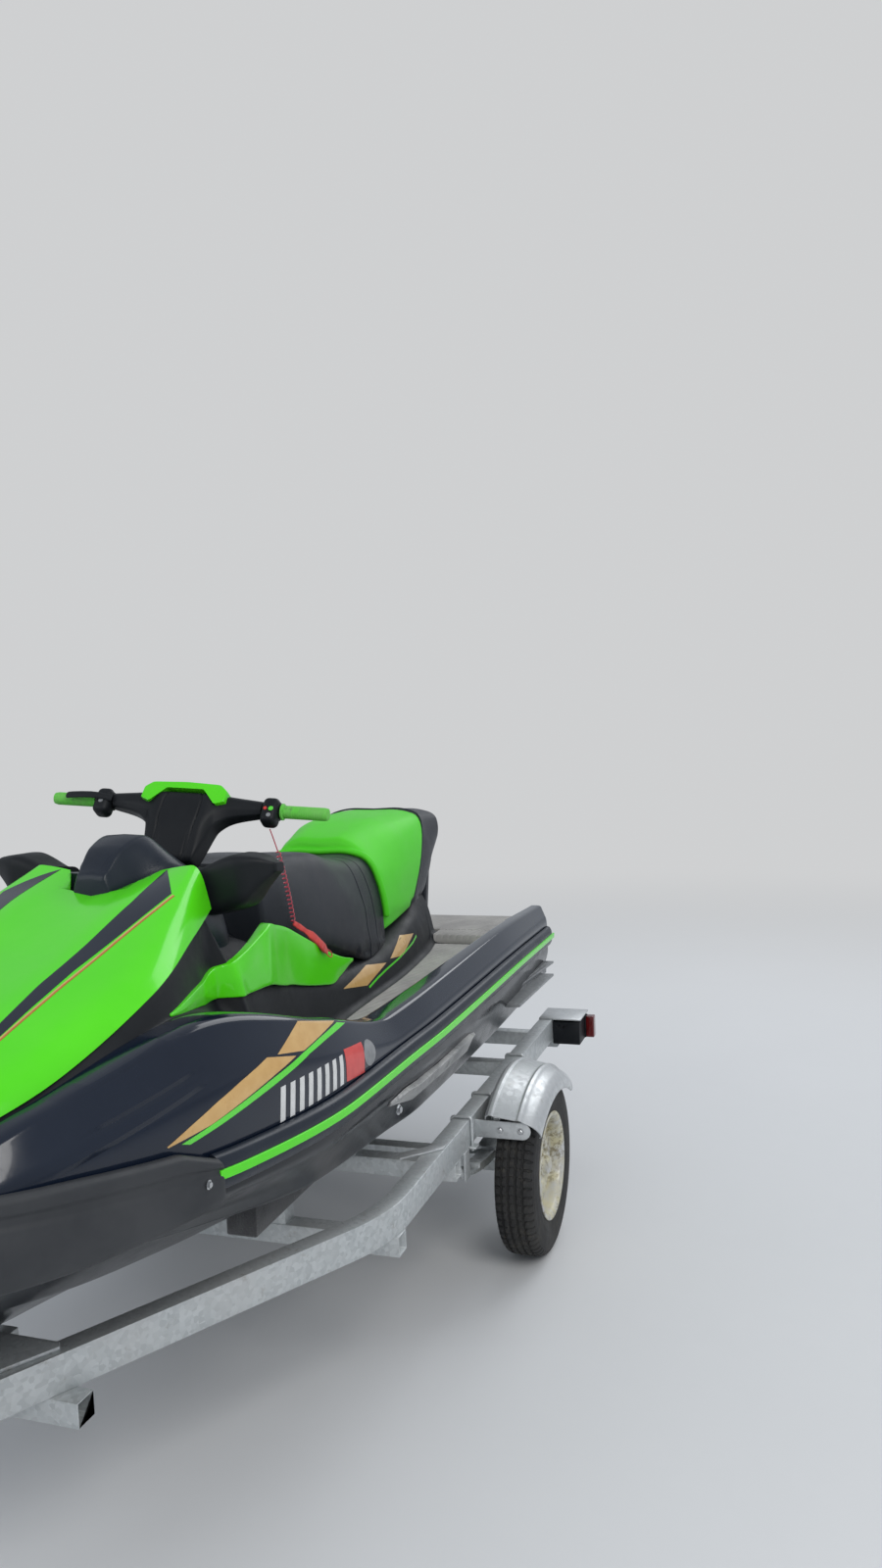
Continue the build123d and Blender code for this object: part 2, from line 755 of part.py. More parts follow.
def make_mirrors():
    """Mirror housings that stand out from the cowl on both sides."""
    rows = [
        (214.0, [(1880, 770), (2010, 786), (2024, 902), (1900, 884)]),
        (300.0, [(1895, 794), (2015, 808), (2022, 928), (1905, 924)]),
        (350.0, [(1915, 846), (1998, 856), (2006, 922), (1922, 918)]),
        (384.0, [(1936, 878), (1980, 884), (1984, 908), (1940, 904)]),
    ]
    return loft_across(rows)


def lanyard_pieces():
    """Lead from the kill switch, fat tube of the curly stretch and the float strap on the seat's side."""
    a = math.radians(column_lean)
    x, y, z = lanyard_start
    start = Pos(bar_x + x * math.cos(a) - z * math.sin(a), y, bar_z + x * math.sin(a) + z * math.cos(a)) * Sphere(1)
    start = steering_turn(start).center() - Vector(0, 0, 2)
    points = [Vector(*p) for p in lanyard_points]
    end = points[0] + (start - points[0]).normalized() * 0.7
    lead = rod(tuple(start), tuple(end), lead_r)
    turn = math.radians((points[1] - points[0]).get_angle(points[2] - points[1]))
    run = min((points[1] - points[0]).length, (points[2] - points[1]).length)
    path = FilletPolyline(*points, radius=0.45 * run / math.tan(turn / 2))
    coil = sweep(Plane(origin=path @ 0, z_dir=path % 0) * Circle(coil_r), path)
    low, high = Vector(*strap_ends[1]), Vector(*strap_ends[0])
    width, depth = strap_size
    plane = Plane(origin=(low + high) / 2, x_dir=high - low, z_dir=(0.12, 0.98, 0.15))
    strap = plane * Box((high - low).length, width, depth)
    return lead, coil, strap


def make_lid(pedestal):
    """Lid of the glove box under the bar, just above the sloping top of the raised middle."""
    x0, x1 = glove_x
    z0, z1 = (between(pedestal_table, x, 5) + gap for x in glove_x)
    top = [(x0, z0), (x1, z1), (x1, z1 + 16), (x1 - 20, z1 + 22), (x0 + 12, z0 + 24), (x0, z0 + 14)]
    return side_prism(top, -112, 112)


def make_grab_handle():
    """Boarding handle behind the rear seat."""
    z = grab_z
    path = FilletPolyline((345, -95, z), (262, -95, z + 8), (262, 95, z + 8), (345, 95, z), radius=38)
    bar = sweep(Plane(origin=path @ 0, z_dir=path % 0) * Circle(11), path)
    return bar


def make_pump():
    """Pump housing with its flange, tail cone, spigot, stator and the ears that carry nozzle and bucket."""
    r0, r1 = pump_bore_r, pump_bore_r + pump_wall
    front = tunnel_front_x
    rear = spigot_x[0]
    outer = turned([(rear, 0), (rear, spigot_r), (spigot_x[1], spigot_r), (pump_rear_x, r1), (front, r1), (front, 0)])
    flange = block((front - 14, front), (-118, 118), (-100, 96))
    ears = block((rear - 6, pump_rear_x + 8), (-15, 15), (-84, 84))
    ears -= block((rear - 60, pump_rear_x + 8), (-20, 20), (-74, 74))
    arm_y = bucket_half_width + 5
    arms = block((bucket_pivot_x - 16, pump_rear_x + 36), (-arm_y - 8, arm_y + 8), (-18, 18))
    arms -= block((0, pump_rear_x + 2), (-arm_y, arm_y), (-60, 60))
    body = outer + flange + ears + arms
    r = spigot_r - spigot_wall
    body -= turned([(rear - 1, 0), (rear - 1, r), (spigot_x[1], r), (pump_rear_x, r0), (front + 1, r0), (front + 1, 0)])
    x0, x1 = pump_rear_x - 30, impeller_x[0] - clear
    stator = turned([(x0, 0), (x0, 12), (x0 + 16, impeller_hub_r), (x1, impeller_hub_r), (x1, 0)])
    for i in range(stator_vanes):
        vane = block((pump_rear_x - 8, x1 - 4), (-2, 2), (0, r0 + 3))
        stator = stator + vane.rotate(Axis.X, i * 360 / stator_vanes)
    stator -= rod((x1 - 22, 0, 0), (x1 + 1, 0, 0), shaft_r + running_gap)
    body = body + stator
    for y in (-arm_y - 9, arm_y - 1):
        body -= rod((bucket_pivot_x, y, 0), (bucket_pivot_x, y + 10, 0), pin_r + running_gap)
    pin = rod((nozzle_pivot_x, 0, -86), (nozzle_pivot_x, 0, 86), pin_r + running_gap)
    body -= pin - rod((nozzle_pivot_x, 0, -70), (nozzle_pivot_x, 0, 70), 20)
    return Pos(0, 0, pump_z) * body


def make_impeller():
    """Impeller with twisted blades on the long drive shaft to the engine."""
    x0, x1 = impeller_x
    hub = turned([(x0, 0), (x0, impeller_hub_r), (x1 - 14, impeller_hub_r), (x1 + 6, shaft_r + 4), (x1 + 6, 0)])
    shaft = rod((x0 - clear - 20, 0, 0), (engine_x[0] - gap, 0, 0), shaft_r)
    body = hub + shaft
    tip = pump_bore_r - 5
    for i in range(impeller_blades):
        wires = []
        for r, lean in ((impeller_hub_r - 4, 30.0), (tip, 56.0)):
            a = math.radians(lean)
            half = (x1 - x0 - 12) / 2
            t = blade_thickness / 2
            c = (x0 + x1) / 2
            dy = half * math.tan(a) * 0.7
            corners = ((c - half, -dy - t), (c - half, -dy + t), (c + half, dy + t), (c + half, dy - t))
            wires.append(Wire.make_polygon([Vector(x, y, r) for x, y in corners], close=True))
        blade = Solid.make_loft(wires, True)
        body = body + blade.rotate(Axis.X, i * 360 / impeller_blades)
    limit = turned([(x0 - 60, 0), (x0 - 60, tip), (engine_x[0] - gap, tip), (engine_x[0] - gap, 0)])
    coupling = rod((engine_x[0] - 40, 0, 0), (engine_x[0] - gap, 0, 0), shaft_r + 8)
    return Pos(0, 0, pump_z) * ((body & limit) + coupling)


def make_nozzle():
    """Steering nozzle with its two upright pivot pins and the arm for the steering cable."""
    x0, x1 = nozzle_x
    line = [(x0, nozzle_exit_r), (x0 + 60, nozzle_exit_r + 6), (nozzle_pivot_x - 20, nozzle_mouth_r), (x1, nozzle_mouth_r)]
    outer = turned([(x0, 0)] + line + [(x1, 0)])
    line = [(x0 - 1, line[0][1]), line[1], line[2], (x1 + 1, line[3][1])]
    inner = turned([(x0 - 1, 0)] + [(x, r - nozzle_wall) for x, r in line] + [(x1 + 1, 0)])
    pins = rod((nozzle_pivot_x, 0, -84), (nozzle_pivot_x, 0, 84), pin_r)
    nozzle = Pos(0, 0, pump_z) * ((outer + pins) - inner)
    return nozzle.rotate(Axis((nozzle_pivot_x, 0, 0), (0, 0, 1)), -bar_turn * nozzle_ratio)


def make_bucket():
    """Reverse bucket: a curved band between two side plates with pivot pins."""
    w = bucket_half_width
    band = Solid.make_cylinder(bucket_r, 2 * w, Plane(origin=(0, w, 0), z_dir=(0, -1, 0)))
    band -= Solid.make_cylinder(bucket_r - bucket_wall, 2 * w + 2, Plane(origin=(0, w + 1, 0), z_dir=(0, -1, 0)))
    far = 300.0
    a0, a1 = (math.radians(a) for a in bucket_arc)
    corners = [(0, 0), (far * math.cos(a0), far * math.sin(a0)), (0, far), (far * math.cos(a1), far * math.sin(a1))]
    sector = side_prism(corners, -w - 30, w + 30)
    band = band & sector
    for side in (1, -1):
        y0, y1 = sorted((side * (w - 6), side * w))
        plate = Solid.make_cylinder(bucket_r, 6, Plane(origin=(0, y1, 0), z_dir=(0, -1, 0))) & sector
        boss = rod((0, y0, 0), (0, y1, 0), 16)
        pin = rod((0, side * (w - 1), 0), (0, side * (w + 5 + 8), 0), pin_r)
        band = band + plate + boss + pin
    return Pos(bucket_pivot_x, 0, pump_z) * band


def make_ride_plate():
    """Plate that closes the tunnel from below, with the intake's screen ahead of it."""
    x0, x1 = ride_plate_x
    y = tunnel_half_width - 1
    plan = [(x0, -y + 30), (x1, -y), (x1, y), (x0, y - 30)]
    plate = plan_prism(plan, 0, ride_plate_thickness)
    for i in (-2, -1, 0, 1, 2):
        plate -= block((x0 + 40, x1 - 40), (i * 44 - 4, i * 44 + 4), (-1, 3))
    for y in (-100, 100):
        plate = plate + block((x1 - 30, x1 + 5 - gap), (y - 12, y + 12), (ride_plate_thickness - 1, 24))
    return plate


def make_intake_grate():
    w = intake_half_width
    x0, x1 = 560.0, intake_front_x
    frame = block((x1 - 26, x1 - gap), (-w + gap, w - gap), (0, 10))
    frame = frame + block((x0, x0 + 18), (-w + gap, w - gap), (0, 10))
    for i in range(5):
        y = (i - 2) * 30.0
        frame = frame + block((x0, x1 - 10), (y - 4, y + 4), (0, 10))
    return frame


def make_sponsons():
    """Moulded pads on the hull's side, low behind the middle, below the rail."""
    rows = []
    stations = (
        (1040.0, 0.30, 0.62, 8.0),
        (1110.0, 0.16, 0.78, 20.0),
        (1560.0, 0.20, 0.80, 22.0),
        (1650.0, 0.42, 0.86, 16.0),
        (1735.0, 0.62, 0.74, 8.0),
    )
    for x, low, high, out in stations:
        chine_y, chine_z, side_y, bond_z = (between(hull_table, x, c) for c in (2, 3, 4, 5))
        mid_y, mid_z = chine_y + 0.35 * (side_y - chine_y), chine_z + 0.22 * (bond_z - chine_z)
        top_z = bond_z - 0.25 * (bond_z - chine_z)

        def skin(t):
            z = mid_z + t * (top_z - mid_z)
            return mid_y + t * (side_y - mid_y), z

        y0, z0 = skin(low)
        y1, z1 = skin(high)
        outer = [(y0 + 0.6 * out, z0), (y0 + out, z0 + 8), (y1 + 0.8 * out, z1 - 4), (y1 + 2, z1 + 2)]
        rows.append((x, [(y0 - 10, z0)] + outer + [(y1 - 10, z1)]))
    return loft_side(rows)


def make_stabilisers():
    """Twin-finned stabilisers at the stern, just outside the hull's sides."""
    root = hull_table[0][2] + 18

    def slat(low, high, *ends):
        rows = [(x, [(root, low), (root + out, low + 4), (root + out, high), (root, high)]) for x, out in ends]
        return loft_side(rows)

    plate = slat(232, 244, (60.0, 60.0), (540.0, 20.0))
    lower = slat(210, 222, (170.0, 85.0), (620.0, 72.0))
    web = slat(205, 246, (100.0, 40.0), (600.0, 15.0))
    return plate + lower + web


def make_bow_eye():
    x, z = bow_x - 43, 306.0
    path = FilletPolyline((x - 14, 0, z - 2), (x + 26, 0, z - 44), (x + 62, 0, z - 6), (x + 24, 0, z + 38), radius=20)
    return sweep(Plane(origin=path @ 0, z_dir=path % 0) * Circle(6), path)


# Trailer
def rail_sweep(width, height):
    path = FilletPolyline((rail_rear_x, rail_y, 0), (rail_bend_x, rail_y, 0), (rail_front_x, 0, 0), radius=rail_bend_r)
    return sweep(Plane(origin=path @ 0, x_dir=(0, 1, 0), z_dir=path % 0) * Rectangle(width, height), path)


def make_rails():
    w, h = rail_tube
    outer = rail_sweep(w, h)
    inner = rail_sweep(w - 2 * tube_wall, h - 2 * tube_wall)
    rail = Pos(0, 0, rail_base_z + h / 2) * (outer - inner)
    t = tongue_size[0] / 2
    rail = rail - block((tongue_x[0] - 500, rail_front_x + 500), (-400, t), (0, 900))
    return pair(rail)


def make_tongue():
    w, h = tongue_size
    z = rail_base_z
    tube = block(tongue_x, (-w / 2, w / 2), (z, z + h))
    t = tube_wall + 1
    return tube - block((tongue_x[0] - 1, tongue_x[1] + 1), (-w / 2 + t, w / 2 - t), (z + t, z + h - t))


def square_tube(x, half, z0, size):
    t = tube_wall
    tube = block((x - size / 2, x + size / 2), (-half, half), (z0, z0 + size))
    return tube - block((x - size / 2 + t, x + size / 2 - t), (-half - 1, half + 1), (z0 + t, z0 + size - t))


def make_crossmembers():
    z0 = rail_base_z - cross_size
    made = [square_tube(x, rail_y + rail_tube[0] / 2, z0, cross_size) for x in cross_xs]
    x = tongue_x[0] + 60
    made.append(square_tube(x, 230.0, z0, cross_size))
    return made


def make_gussets():
    """Plates above and below the joint of rails and tongue."""
    z1 = rail_base_z + rail_tube[1]
    plan = [(2535, -160), (2550, -172), (2720, -62), (2790, -34), (2790, 34), (2720, 62), (2550, 172), (2535, 160)]
    return plan_prism(plan, z1, z1 + 8)


def make_axle():
    z = tyre_r
    half = wheel_y - 74
    beam = square_tube(wheel_x, half, z - axle_size / 2, axle_size)
    caps = []
    for side in (1, -1):
        y0, y1 = sorted((side * half, side * (half + 8)))
        cap = block((wheel_x - axle_size / 2, wheel_x + axle_size / 2), (y0, y1), (z - axle_size / 2, z + axle_size / 2))
        stub = rod((wheel_x, side * half, z), (wheel_x, side * (wheel_y + 40), z), stub_r)
        caps += [cap, stub]
    for c in caps:
        beam = beam + c
    return beam


def make_springs():
    """Leaf springs seated on the axle, with their eyes and U-bolt plates."""
    top = tyre_r + axle_size / 2
    r = (spring_half**2 + spring_sag**2) / (2 * spring_sag)
    centre = top + r + spring_pack
    w = spring_width
    y0 = rail_y - w / 2
    plane = Plane(origin=(wheel_x, y0, centre), z_dir=(0, 1, 0))
    band = Solid.make_cylinder(r + spring_pack, w, plane) - Solid.make_cylinder(r + spring_pack - 10, w, plane)
    band = band & block((wheel_x - spring_half, wheel_x + spring_half), (y0, y0 + w), (top - 20, top + 150))
    short = Solid.make_cylinder(r + spring_pack, w, plane) - Solid.make_cylinder(r, w, plane)
    short = short & block((wheel_x - spring_half * 0.6, wheel_x + spring_half * 0.6), (y0, y0 + w), (top - 20, top + 150))
    spring = band + short
    eye_z = top + spring_sag + 10
    for s in (-1, 1):
        eye = rod((wheel_x + s * spring_half, y0, eye_z), (wheel_x + s * spring_half, y0 + w, eye_z), 16)
        spring = spring + eye
    spring = spring - block((wheel_x - 60, wheel_x + 60), (0, 900), (top - 60, top))
    plate = block((wheel_x - 45, wheel_x + 45), (y0 - 12, y0 + w + 12), (top + spring_pack, top + spring_pack + 10))
    return spring + plate, eye_z


def make_hangers(eye_z):
    made = []
    w = spring_width
    y0, y1 = rail_y - w / 2, rail_y + w / 2
    for s in (-1, 1):
        x = wheel_x + s * spring_half
        sides = [block((x - 22, x + 22), (a, a + 5), (eye_z - 20, rail_base_z)) for a in (y0 - 5 - gap, y1 + gap)]
        top = block((x - 22, x + 22), (y0 - 5 - gap, y1 + 5 + gap), (rail_base_z - 8, rail_base_z))
        made += pair(sides[0] + sides[1] + top)
    return made


def make_tyre():
    r, w = tyre_r, tyre_width / 2
    rb = rim_r
    t = tyre_wall
    half = [(0.80 * w, rb), (0.96 * w, rb + 30), (w, rb + 62), (0.92 * w, rb + 92), (0.78 * w, r - 5), (0.60 * w, r)]
    room = [(0.80 * w - t, rb - 1), (w - t, rb + 50), (0.92 * w - t, rb + 88), (0.60 * w, r - t - 4)]
    at = (wheel_x, wheel_y, tyre_r)
    outer, inner = ([(-y, z) for y, z in line] + line[::-1] for line in (half, room))
    return turned(outer, "y", at) - turned(inner, "y", at)


def make_rim():
    """Painted steel wheel with its hub, bored for the stub axle."""
    w = rim_width / 2
    rb = rim_r
    barrel = turned([(-w, rb - gap), (-w, rb - 12), (w, rb - 12), (w, rb - gap)], "y")
    wheel = barrel
    for y in (-w - 5, w):
        lip = [(y, rb + 9 - gap), (y, rb - 12), (y + 5, rb - 12), (y + 5, rb + 9 - gap)]
        wheel = wheel + turned(lip, "y")
    front = [(14, rb - 10), (14, rb - 30), (26, 92), (26, 60), (8, 52), (8, 0)]
    back = [(2, 0), (2, 50), (20, 64), (20, 90), (8, rb - 30), (8, rb - 10)]
    hub = [(-44, 0), (-44, hub_r), (-30, hub_r), (-26, 34), (2, 34), (2, 58), (8, 58), (8, 34), (46, 30), (50, 26), (50, 0)]
    wheel = wheel + turned(front + back, "y") + turned(hub, "y")
    for i in range(8):
        hole = rod((0, 0, 104), (0, 60, 104), 13)
        wheel -= hole.rotate(Axis.Y, i * 45)
    wheel -= rod((0, -60, 0), (0, 40 + gap, 0), stub_r + running_gap)
    return Pos(wheel_x, wheel_y, tyre_r) * wheel


def fender_radius():
    """Radius of the shallow arch from its half length and rise."""
    return (fender_half**2 + fender_rise**2) / (2 * fender_rise)


def make_fender():
    """Shallow arched fender: flat inside with a bead, rounded down to a rolled lip outside."""
    y0, y1 = fender_y
    r, t = fender_radius(), fender_wall
    upper = [
        (y0, -16), (y0 + 1, 0), (y0 + 10, 5), (y0 + 22, 5), (y0 + 30, 0), (y0 + 75, -8), (y0 + 112, -19),
        (y1 - 22, -32), (y1 - 6, -52), (y1, -72), (y1 - 2, -82), (y1 - 9, -82),
    ]
    lower = [
        (y1 - 8, -72), (y1 - 11, -54), (y1 - 25, -35), (y0 + 111, -22), (y0 + 74, -11), (y0 + 30, -t),
        (y0 + 22, 2), (y0 + 10, 2), (y0 + t, -t), (y0 + t, -16),
    ]
    face = Face(Wire.make_polygon([Vector(0, y, r + a) for y, a in upper + lower], close=True))
    turn = 2 * math.degrees(math.asin(fender_half / r))
    arch = Solid.revolve(face.rotate(Axis.Y, -turn / 2), turn, Axis.Y)
    return Pos(wheel_x, 0, fender_top_z - r) * arch


def make_fender_brackets():
    """Upright flat bars with a rounded end from the rail out under the fender, fore and aft."""
    made = []
    r = fender_radius()
    seat_r = r - fender_seat_drop
    top = fender_top_z - r + math.sqrt(seat_r**2 - (fender_bracket_x + 3) ** 2) - gap
    y0, y1 = rail_y + rail_tube[0] / 2, fender_y[1] - 27
    for s in (-1, 1):
        x = wheel_x + s * fender_bracket_x
        low = rail_base_z + 6
        half = (top - low) / 2
        arm = block((x - 3, x + 3), (y0, y1 - half), (low, top))
        arm = arm + rod((x - 3, y1 - half, low + half), (x + 3, y1 - half, low + half), half)
        made += pair(arm)
    return made


def make_bunks(hull):
    x0, x1 = bunk_x
    y0, y1 = bunk_y
    raw = block((x0, x1), (y0, y1), (bunk_base_z, 640))
    lowered = hull.moved(Location((0, 0, keel_height - gap)))
    cut = raw - lowered
    slab = min(cut.solids(), key=lambda s: s.bounding_box().min.Z) if len(cut.solids()) > 1 else cut
    return slab & block((x0, x1), (y0, y1), (bunk_base_z, 560))


def make_bunk_brackets():
    made = []
    y0, y1 = bunk_y
    for x in cross_xs:
        if bunk_x[0] <= x <= bunk_x[1]:
            made += pair(block((x - 25, x + 25), (y0 + 5, y1 - 5), (rail_base_z, bunk_base_z)))
    return made


def make_coupler():
    """Pressed coupler with the socket for the ball in its underside and the latch lever on top."""
    z0, z1 = rail_base_z, rail_base_z + tongue_size[1]
    half, t = tongue_size[0] / 2, coupler_wall
    end = tongue_x[1]
    sleeve = block((end - 120, end + 30), (-half - t, half + t), (z0 + 20, z1 + t))
    sleeve -= block((end - 121, end + gap), (-half - gap, half + gap), (0, z1 + gap))
    neck_x = ball_x - 28
    neck = [(end + gap, half + t), (neck_x, ball_r + 21)]
    neck = plan_prism(neck + [(x, -y) for x, y in reversed(neck)], z0 + 20, z1 + t)
    head = Pos(ball_x, 0, z0 + 50) * Cylinder(ball_r + 21, 62)
    nose = block((ball_x, coupler_nose_x), (-20, 20), (z0 + 32, z0 + 60))
    top = z1 + t
    lever = [(-110, 0), (0, 0), (-4, 25), (-80, 39), (-180, 45), (-178, 33), (-94, 21)]
    body = sleeve + neck + head + nose + side_prism([(ball_x + x, top + z) for x, z in lever], -9, 9)
    return body - rod((ball_x, 0, z0), (ball_x, 0, z0 + 19 + socket_length), ball_r + ball_clearance)


def make_jack():
    """Swing-up jack: bracket on the tongue, tube that turns on its pivot, leg with foot plate, crank."""
    y, z = jack_y, rail_base_z + tongue_size[1] / 2
    side = tongue_size[0] / 2
    room = rod((jack_x, y, 260), (jack_x, y, jack_top_z - 20), jack_inner_r + running_gap)
    bracket = block((jack_x - 60, jack_x + 60), (side, side + 8), (z - 48, z + 48))
    bracket = bracket + rod((jack_x, side + 4, z), (jack_x, y - jack_tube_r - 8, z), jack_pivot_r)
    boss = rod((jack_x, side + 8 + gap, z), (jack_x, y - 10, z), jack_pivot_r + 10)
    tube = rod((jack_x, y, 270), (jack_x, y, jack_top_z), jack_tube_r) + boss - room
    tube = tube - rod((jack_x, side, z), (jack_x, y - jack_tube_r - 8 + gap, z), jack_pivot_r + running_gap)
    foot = [(0, 0), (0, jack_foot_r), (5, jack_foot_r), (10, 40), (40, jack_inner_r + 1), (40, 0)]
    leg = rod((jack_x, y, 10), (jack_x, y, 480), jack_inner_r) + turned(foot, "z", (jack_x, y, 0))
    leg = leg - rod((jack_x, y, 60), (jack_x, y, 490), jack_inner_r - 3)
    top = jack_top_z
    crank = rod((jack_x, y, top), (jack_x, y, top + 30), 9)
    crank = crank + rod((jack_x, y, top + 26), (jack_x - 130, y, top + 26), 7)
    crank = crank + rod((jack_x - 130, y, top + 20), (jack_x - 130, y, top + 90), 12)
    return bracket, tube, leg, crank


def make_winch_post():
    z0 = rail_base_z + tongue_size[1]
    t = post_half
    post = block((post_x - t, post_x + t), (-t, t), (z0, post_top_z))
    foot = block((post_x - 70, post_x + 70), (-34, 34), (z0, z0 + 8))
    side = [(post_x - 190, z0), (post_x - 150, z0), (post_x - 22, z0 + 260), (post_x - 22, z0 + 310)]
    brace = side_prism(side, -20, 20)
    x, z = post_x - roller_reach, (roller_z - 22, roller_z + 22)
    arm = block((x + 28, post_x - t + 1), (-25, 25), z)
    ears = [block((x - 12, x + 38), (a, a + 6), z) for a in (-66, 60)]
    cross = block((x + 26, x + 38), (-66, 66), z)
    whole = post + foot + brace + arm + ears[0] + ears[1] + cross
    return whole - rod((x, -70, roller_z), (x, 70, roller_z), pin_r + running_gap)


def make_bow_roller():
    x = post_x - roller_reach
    pin = rod((x, -66 - 6, roller_z), (x, 66 + 6, roller_z), pin_r)
    return rod((x, -59, roller_z), (x, 59, roller_z), roller_r) + pin


def make_winch():
    """Hand winch on the post: side plates, drum, gear guard and crank."""
    z = post_top_z
    x = post_x
    base = block((x - 60, x + 60), (-50, 50), (z, z + 6))
    plates = [block((x - 60, x + 60), (a, a + 5), (z, z + 110)) for a in (-50, 45)]
    drum = rod((x, -45, z + 62), (x, 45, z + 62), 22)
    flanges = [rod((x, a, z + 62), (x, a + 4, z + 62), 44) for a in (-40, 36)]
    gear = rod((x, 50, z + 62), (x, 70, z + 62), 50)
    crank = rod((x + 34, 50, z + 80), (x + 34, 96, z + 80), 8) + block((x + 26, x + 200), (88, 96), (z + 72, z + 88))
    crank = crank + rod((x + 190, 92, z + 80), (x + 190, 170, z + 80), 13)
    body = base + plates[0] + plates[1] + drum + flanges[0] + flanges[1] + gear + crank
    return body


def make_tail_brackets():
    """Light boxes at the rails' rear ends, outboard, with a cover plate above."""
    y0 = rail_y + rail_tube[0] / 2
    y1, top = y0 + light_box_depth, rail_base_z + rail_tube[1]
    box = block((rail_rear_x - 10, rail_rear_x + 125), (y0, y1), (rail_base_z - 16, top - 8))
    plate = block((rail_rear_x - 16, rail_rear_x + 130), (y0 - 50, y1 + 6), (top, top + 5))
    web = block((rail_rear_x + 40, rail_rear_x + 50), (y0, y1), (top - 9, top + 1))
    return pair(box + plate + web)


def make_tail_lights():
    y0 = rail_y + rail_tube[0] / 2 + light_box_depth
    return pair(block((rail_rear_x - 6, rail_rear_x + 30), (y0, y0 + 35), (rail_base_z - 14, rail_base_z + 66)))


def save(name, pieces, from_keel):
    """Writes one node, moved to the shared frame."""
    pieces = pieces if isinstance(pieces, list) else [pieces]
    solids = [s for p in pieces for s in p.solids()]
    shift = Location((-x_middle, 0, keel_height if from_keel else 0))
    moved = [s.moved(shift) for s in solids]
    shape = moved[0] if len(moved) == 1 else Compound(children=moved)
    export_step(shape, f"parts/{name}.step")
    print(name, len(moved), round(sum(s.volume for s in moved) / 1e6, 3))


def craft_pieces():
    hull, pedestal = hull_core(), pedestal_core()
    deck = make_deck(pedestal)
    x0, x1 = glove_x
    w = glove_half_width
    z = between(pedestal_table, x0, 5)
    deck -= block((x0 + 14, x1 - 14), (-w, w), (z - glove_depth, 900))
    front, rear = make_seats(pedestal)
    rails, stripes = make_rub_rails()
    lid = make_lid(pedestal)
    cowl = make_cowl(pedestal)
    panel = loft_side(make_side_panels())
    panel = cut_near(panel, pedestal, coaming_core())
    panel = max(panel.solids(), key=lambda s: s.volume)
    panel = cut_near(panel, front)
    panel = max(panel.solids(), key=lambda s: s.volume)
    mirror = cut_near(make_mirrors(), cowl)
    mirror = max(mirror.solids(), key=lambda s: s.volume)
    sponson = cut_near(make_sponsons(), hull)
    sponson = max(sponson.solids(), key=lambda s: s.volume)
    fin = cut_near(make_stabilisers(), hull)
    fin = max(fin.solids(), key=lambda s: s.volume)
    handle = make_grab_handle() - pedestal
    eye = make_bow_eye() - hull
    eye = max(eye.solids(), key=lambda s: s.volume)
    lead, coil, strap = lanyard_pieces()
    grips = [steering_turn(g) for g in make_grips()]
    controls = [steering_turn(c) for c in make_controls()]
    return {
        "hull": make_hull(),
        "deck": deck,
        "hood": make_hood(),
        "seat_front": front,
        "seat_rear": rear,
        "rub_rails": rails + make_stern_pads(),
        "rub_stripes": stripes,
        "bow_guard": make_bow_guard(),
        "deck_mats": make_mats(pedestal),
        "side_panels": pair(panel),
        "instrument_cowl": cowl,
        "mirrors": pair(mirror),
        "glove_box_lid": lid,
        "handlebar": steering_turn(make_handlebar()),
        "bar_cover": steering_turn(make_bar_cover()),
        "bar_pad": steering_turn(make_bar_pad()),
        "grips": grips,
        "hand_controls": controls,
        "grab_handle": handle,
        "engine": block(engine_x, (-engine_half_width, engine_half_width), (bay_floor_z, engine_top_z)),
        "pump_housing": make_pump(),
        "impeller": make_impeller(),
        "steering_nozzle": make_nozzle(),
        "reverse_bucket": make_bucket(),
        "ride_plate": make_ride_plate(),
        "intake_grate": make_intake_grate(),
        "hull_sponsons": pair(sponson),
        "stern_stabilisers": pair(fin),
        "bow_eye": eye,
        "lanyard_lead": lead,
        "lanyard_coil": coil,
        "lanyard_strap": strap,
    }


def trailer_pieces():
    spring, eye_z = make_springs()
    jack_bracket, jack_tube, jack_leg, jack_crank = make_jack()
    tyre, rim = make_tyre(), make_rim()
    return {
        "trailer_rails": make_rails(),
        "trailer_tongue": make_tongue(),
        "crossmembers": make_crossmembers(),
        "gusset_plate": make_gussets(),
        "coupler": make_coupler(),
        "jack_bracket": jack_bracket,
        "jack_tube": jack_tube,
        "jack_leg": jack_leg,
        "jack_crank": jack_crank,
        "winch_post": make_winch_post(),
        "bow_roller": make_bow_roller(),
        "winch": make_winch(),
        "bunks": pair(make_bunks(hull_core())),
        "bunk_brackets": make_bunk_brackets(),
        "axle": make_axle(),
        "leaf_springs": pair(spring),
        "spring_hangers": make_hangers(eye_z),
        "fenders": pair(make_fender()),
        "fender_brackets": make_fender_brackets(),
        "tail_brackets": make_tail_brackets(),
        "tail_lights": make_tail_lights(),
        "tyre_port": tyre,
        "tyre_starboard": tyre.mirror(Plane.XZ),
        "rim_port": rim,
        "rim_starboard": rim.mirror(Plane.XZ),
    }


def main():
    os.makedirs("parts", exist_ok=True)
    for name, pieces in craft_pieces().items():
        save(name, pieces, True)
    for name, pieces in trailer_pieces().items():
        save(name, pieces, False)


if __name__ == "__main__":
    main()
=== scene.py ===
import math
from itertools import product
import bmesh
import bpy
import numpy as np
from mathutils import Matrix, Vector


